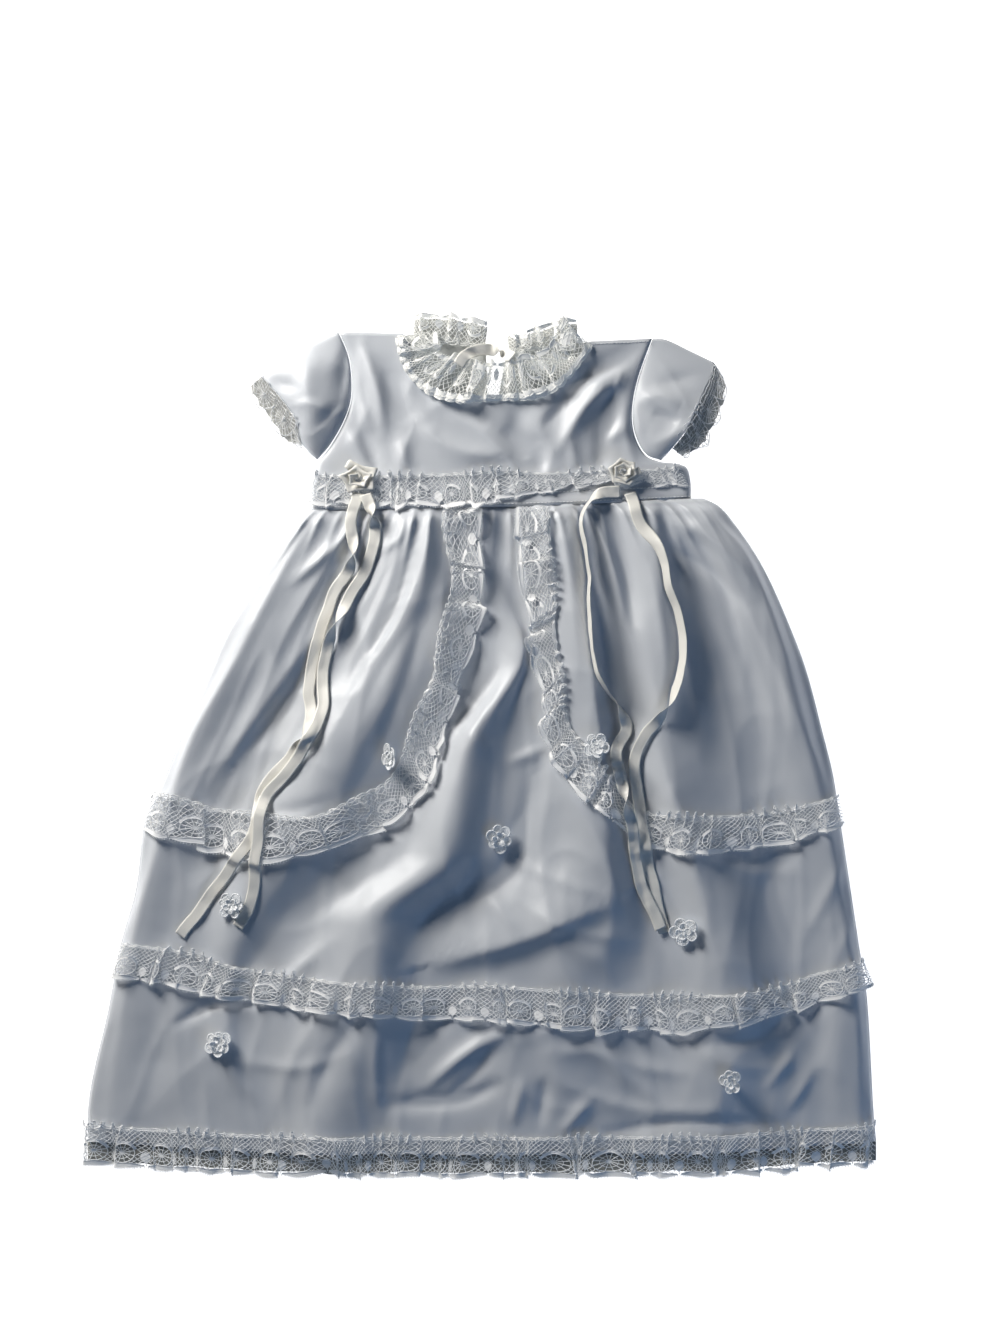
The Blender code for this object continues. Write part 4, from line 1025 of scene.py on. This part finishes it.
def ribbon(name, corners, relief, turns):
    """A satin ribbon along a path, lying on what is under it, which turns over at shares of its length."""
    path = Path(corners)
    rows = max(8, int(path.length / 1.2))
    c, s = unit_grid(rows, 9)
    centre, side = path.at(s), path.left_of(s)
    angle = 0 * s
    for place, reach, amount in turns:
        angle = angle + np.pi * amount * ease((s - place) * path.length / reach + 0.5)
    angle += 0.22 * wrinkled(0.05 * s * path.length, 0, len(name), 1.0, 1.0)
    out = (c - 0.5) * RIBBON_WIDTH * 0.98
    plan = centre + side * (out * np.cos(angle))[..., None]
    plan += side * wrinkled(s * path.length / 16, 0, 3, 1.0, 1.0)[..., None]
    x, y = split(plan)
    ground = relief.covered(2).at(x, y)
    middle = ground.max(axis=1, keepdims=True)
    smooth = middle.copy()
    for _ in range(10):
        smooth[1:-1] = np.maximum(middle[1:-1], (smooth[:-2] + 2 * smooth[1:-1] + smooth[2:]) / 4)
    floor = np.maximum(0.35 * ground + 0.65 * smooth, ground)
    z = floor + 0.4 + out * np.sin(angle) + 0.5 * RIBBON_WIDTH * np.abs(np.sin(angle))
    z += 0.5 + 0.5 * wrinkled(s * path.length, c * RIBBON_WIDTH, len(name), 11, 1.0)
    relief.add(joined(x, y, z + 0.3))
    ribbon_sheet(name, joined(x, y, z))


def rosette(rose, relief):
    """Ribbon wound and folded into a rose: each turn leans outwards, with pointed corners at its lip."""
    ground = relief.covered(3).at(np.array([rose.x]), np.array([rose.y]))[0]
    turns = rose.turns
    s, t = unit_grid(7, 140)
    angle = rose.turn + 2 * np.pi * turns * s
    sector = (angle * rose.corners / (2 * np.pi) + 0.8 * s * turns) % 1.0 - 0.5
    corner = 1 / np.cos(2 * sector * np.pi / rose.corners)
    foot = 0.05 + 0.42 * s**0.9
    lip = 0.16 + 0.72 * s**0.8
    radius = (foot + (lip - foot) * t**1.3) * (1 + t * (corner - 1) * 1.15)
    height = 7.2 - 3.9 * s + 0.9 * np.sin(2 * angle + 1.5 * turns * s) * s
    z = ground + 0.4 + height * np.sin(0.5 * np.pi * t) ** 0.9 - 0.9 * np.maximum(0, t - 0.7) / 0.3 * s
    x = rose.x + rose.half_width * radius * np.cos(angle)
    y = rose.y + rose.half_depth * radius * np.sin(angle)
    grid = joined(x, y, z)
    ribbon_sheet(rose.name, grid)
    relief.add(joined(x, y, ground + 3.0))


def flower(number, bloom, relief):
    """A small guipure flower: crumpled petals of thick cord and net that curl up round a knot."""
    ground = relief.covered(3)
    chance = np.random.default_rng(40 + number)
    threads = Threads()
    start = chance.uniform(0, 2 * np.pi)

    for k in range(2 * bloom.petals - 1):
        outer = k < bloom.petals
        middle = start + 2 * np.pi * (k + 0.5 * (not outer)) / (bloom.petals - (not outer))
        middle += chance.uniform(-0.18, 0.18)
        half = np.pi / bloom.petals * chance.uniform(0.95, 1.15)
        long = chance.uniform(0.86, 1.06) if outer else chance.uniform(0.5, 0.62)
        curl, lean = chance.uniform(0.4, 3.0), chance.uniform(-1.2, 1.2)
        raised = 0.7 if outer else 2.2

        def spot(reach, across):
            """A point of the petal from its foot to its tip and across it, as its place and its lift."""
            swell = math.sin(math.pi * min(1, 0.16 + 0.72 * reach)) ** 0.7
            radius = FLOWER_RADIUS * long * (0.12 + 0.88 * reach - 0.16 * reach * curl / 3)
            lift = raised + curl * reach**1.4 + lean * across * reach + 0.5 * math.sin(7 * reach + k)
            angle = middle + across * half * swell * (1.1 - 0.25 * reach)
            return radius * math.cos(angle), radius * math.sin(angle), lift

        rim = [spot(r, -1) for r in np.linspace(0, 0.86, 6)]
        rim += [spot(0.96, -0.65), spot(1.0, 0.0), spot(0.96, 0.65)]
        rim += [spot(r, 1) for r in np.linspace(0.86, 0, 6)]
        threads.line(rim, 0.7)
        threads.line([spot(r, 0.0) for r in (0.0, 0.3, 0.6, 0.95)], 0.5)
        for r in (0.25, 0.4, 0.55, 0.7, 0.84):
            threads.line([spot(r, a) for a in np.linspace(-1, 1, 5)], 0.34)
        for a in (-0.6, -0.3, 0.3, 0.6):
            threads.line([spot(r, a) for r in (0.0, 0.35, 0.7, 0.93)], 0.3)

    def placed(spots):
        x, y = bloom.x + spots[:, 0] * bloom.squeeze, bloom.y + spots[:, 1]
        tilt = PETAL_TILT * spots[:, 0] * math.sqrt(1 - bloom.squeeze**2)
        return joined(x, y, ground.at(x, y) + spots[:, 2] + tilt - tilt.min())

    starts, ends = np.array(threads.starts), np.array(threads.ends)
    name = f"flower_{number + 1}"
    cords = tubes(placed(starts), placed(ends), UP, np.array(threads.radii))
    piece(name + "_threads", *cords, GUIPURE, name)
    levels = np.radians(np.linspace(0, 82, 6))[:, None]
    ring = np.linspace(0, 2 * np.pi, 14, endpoint=False)[None, :]
    reach = 2.6 * np.cos(levels) * (1 + 0.16 * np.sin(5 * ring + number))
    x, y, z = placed(np.array([[0.0, 0.0, 0.6]]))[0]
    knot = joined(x + reach * np.cos(ring) * bloom.squeeze, y + reach * np.sin(ring),
                  z + 2.6 * np.sin(levels) + 0.3 * np.sin(4 * ring))
    piece(name + "_knot", knot, facing(knot, closed=True), GUIPURE, name)


# The gown, from the floor up

relief = Relief()

skirt_back = shell("skirt_back", skirt_back_grid(), SATIN_WHITE)
skirt_grid = skirt_front_grid()
skirt_front = shell("skirt_front", skirt_grid, SATIN_WHITE)
backs = [
    shell("bodice_back_" + side, bodice_back_grid(*edges), SATIN_INSIDE, "white_satin")
    for side, edges in (
        ("left", (waist_path(BODICE_LEFT, 4.0), Joined((0.5, SHOULDER_LEFT), (1.0, BACK_NECK_LEFT)),
                  LEFT_EDGE, PLACKET_LEFT)),
        ("right", (waist_path(5.0, BODICE_RIGHT), Joined((0.5, BACK_NECK_RIGHT), (1.0, SHOULDER_RIGHT)),
                   PLACKET_RIGHT, RIGHT_EDGE)),
    )
]
bodice_grid = bodice_front_grid()
bodice_front = shell("bodice_front", bodice_grid, SATIN_WHITE)
relief.add(skirt_grid)
relief.add(bodice_grid)
cloth_top = Relief(relief.height.copy())

for cut in SLEEVES:
    upper, ring = sleeve_grid(cut)
    shell("sleeve_" + cut.side, ring, SATIN_WHITE, closed=True)
    relief.add(upper)


def cuff_lace(cut, relief):
    """Lace round a flattened cuff: its upper side, and its lower side back again."""
    cuff, edge = Path(cut.cuff), Path(cut.lace_edge)
    moved = Path(cuff.points[::8] + (cut.shift, 0.0))
    ground = relief.covered(2)
    base = lambda x, y: np.maximum(ground.at(x, y), 1.6) + 0.3
    upper = ruffled(moved, edge, ruffles=9, height=1.5, lean=0.10, base_at=base, seed=cut.seed)
    s = np.linspace(0, 1, upper.shape[1])[None, :]
    upper[..., 2] = 1.6 + (upper[..., 2] - 1.6) * np.sin(np.pi * np.clip(s, 0.03, 0.97)) ** 0.4
    lower = ruffled(moved, edge, ruffles=9, height=0.2, lean=0.05, base_at=lambda x, y: 0.4, seed=2.0,
                    popcorn=0.0)[:, ::-1]
    name = "cuff_lace_" + cut.side
    # A grey sheet of painted shade between the cuff lace's lower and upper threads
    under = shade_layer(name, lower, reach=0.86, height=1.25, slot="white_lace")
    add_lace(name, np.concatenate([upper, lower], axis=1), FAN_LACE, cuff.length * 2 * CUFF_FULLNESS,
             LACE_WHITE)


CUFF_FULLNESS = 1.15
for cut in SLEEVES:
    cuff_lace(cut, relief)


def hem_edge(above):
    shares = np.linspace(0, 1, 24)
    left, right = skirt_sides(SKIRT_LENGTH)
    return Path(joined(left + (right - left) * shares, smooth_value(HEM_SHARE, HEM_Y, shares) + above))


hem_strip = LaceStrip("hem_lace_front", 29, 2.6, 1.3, hem_edge(HEM_LACE_ABOVE).points[::12],
                      hem_edge(-HEM_LACE_BELOW).points[::12])
strip_lace(hem_strip, relief, WIDE_LACE, LACE_WHITE, lowest=2.2, seed=0.3)

# The hem's back lace, under the front one, is coloured dark grey as painted shade
back_grid = ruffled(hem_edge(-0.3), hem_edge(-14.0), ruffles=24, height=0.5, lean=0.05,
                    base_at=lambda x, y: 0.5, seed=1.5, rows=5)
back_lace = shell("hem_lace_back", back_grid, LACE_IN_PAINTED_SHADE, "white_lace", thickness=0.4)
hem_edge(0).length * MM

for seed, strip in enumerate(LACES[:3]):
    strip_lace(strip, relief, WIDE_LACE, LACE_WHITE, lowest=2.9, seed=1.1 + seed)
strip_lace(LACES[3], relief, cluny(width=26.0), LACE_WHITE, lowest=2.9, seed=5.0)

for number, bloom in enumerate(FLOWERS):
    flower(number, bloom, relief)
for tail in TAILS:
    ribbon(tail.name, tail.path, relief, tail.turns)
for rose in ROSES:
    rosette(rose, relief)
# The back neck laces lie over grey sheets of painted shade, which show through their holes
for seed, strip in enumerate(NECK_BACK_LACES):
    strip_lace(strip, relief, cluny(width=22.0), LACE_CREAM, lowest=1.2, seed=2.0 + seed,
               shaded=True)


def neck_frill():
    """The front neck's lace: a tight heading on the edge, and deep pleats that lie towards the opening."""
    shares = np.linspace(0, 1, 40)
    line, side = FRONT_NECK.at(shares), FRONT_NECK.left_of(shares)
    heading, free = Path(line - side * 3.5), Path(line + side * 24.0)
    ground = relief.covered(3)
    base = lambda x, y: np.maximum(ground.at(x, y), 5.0) + 0.5
    grid = ruffled(heading, free, ruffles=12, height=6.4, lean=0.8, base_at=base, seed=0.7, rows=13,
                   popcorn=1.8, box=5.0)
    add_lace("neck_frill_front", grid, cluny(width=28.0, tape=4.5), heading.length * NECK_FULLNESS,
             LACE_CREAM)
    relief.add(grid + LACE_TOP)


STITCH_SPACING, STITCH_LENGTH, STITCH_LIFT, STITCH_RADIUS = 2.6, 1.7, 0.25, 0.3


def stitches(name, corners):
    """A row of small machine stitches sunk into the bodice's cloth."""
    path = Path(corners)
    count = int(path.length / STITCH_SPACING)
    middles = (np.arange(count) + 0.5) / count
    half = 0.5 * STITCH_LENGTH / path.length
    ends = []
    for shares in (middles - half, middles + half):
        x, y = split(path.at(shares))
        ends.append(joined(x, y, cloth_top.at(x, y) + STITCH_LIFT))
    threads = tubes(*ends, UP, np.full(count, STITCH_RADIUS))
    return piece(name, *threads, LACE_WHITE, "bodice_front", "white_satin")


bodice_stitches = [
    stitches("waist_stitches_1", WAIST.points[::4] + (0.0, 2.2)),
    stitches("waist_stitches_2", WAIST.points[::4] + (0.0, 9.5)),
    stitches("shoulder_stitches", ((77, 283.5), (98, 284.6), (118, 285.9))),
]

NECK_FULLNESS = 1.9
neck_frill()
ribbon("neck_bow", NECK_BOW, relief, ((0.25, 12, 1),))

# Flat cuts in metres. A skirt panel is 600 mm wide at the hem and 420 at the waist, where it is gathered in.
Cut = namedtuple("Cut", "width length area held")


# Stage, light and camera

FLOOR_HALF, FLOOR_HEIGHT = 4.0, -0.0005
floor_mesh = bpy.data.meshes.new("floor")
floor_mesh.from_pydata(
    [(x * FLOOR_HALF, y * FLOOR_HALF, FLOOR_HEIGHT) for x, y in ((-1, -1), (1, -1), (1, 1), (-1, 1))],
    [], [(0, 1, 2, 3)],
)
floor = bpy.data.objects.new("floor", floor_mesh)
scene = bpy.context.scene
scene.collection.objects.link(floor)
floor_material = bpy.data.materials.new("floor")
floor_material.use_nodes = True
fill(floor_material.node_tree.nodes["Principled BSDF"], {
    "Base Color": (0.93, 0.93, 0.93, 1), "Roughness": 0.9,
    "Emission Color": (1, 1, 1, 1), "Emission Strength": 0.95,
})
floor_mesh.materials.append(floor_material)

scene.world = bpy.data.worlds.new("studio")
scene.world.use_nodes = True
fill(scene.world.node_tree.nodes["Background"], {"Color": (0.55, 0.74, 1.0, 1), "Strength": 0.04})


def soft_light(name, place, aim, size, power, colour):
    data = bpy.data.lights.new(name, "AREA")
    data.shape = "SQUARE"
    data.size = size
    data.energy = power
    data.color = colour
    lamp = bpy.data.objects.new(name, data)
    lamp.location = place
    lamp.rotation_euler = (Vector(aim) - Vector(place)).to_track_quat("-Z", "Y").to_euler()
    scene.collection.objects.link(lamp)


# A warm key light from the upper left, low enough for the folds to show, and a weak blue fill against it
soft_light("key", (-0.80, 0.90, 0.54), (0.0, 0.0, 0.0), size=0.5, power=21.0, colour=(1.0, 0.975, 0.93))
soft_light("fill", (1.0, -1.0, 0.9), (0.1, -0.15, 0.0), size=1.0, power=3.9, colour=(0.30, 0.55, 1.0))

# The camera looks straight down. The picture's long side spans this many metres of the floor.
SENSOR, CAMERA_HEIGHT, PICTURE_SPAN = 36.0, 1.6, 0.9464
camera_data = bpy.data.cameras.new("camera")
camera_data.sensor_width = SENSOR
camera_data.sensor_fit = "AUTO"
camera_data.lens = SENSOR * CAMERA_HEIGHT / PICTURE_SPAN
camera = bpy.data.objects.new("camera", camera_data)
camera.location = (0.0128, 0.0561, CAMERA_HEIGHT)
scene.collection.objects.link(camera)
scene.camera = camera
scene.view_settings.view_transform = "Standard"
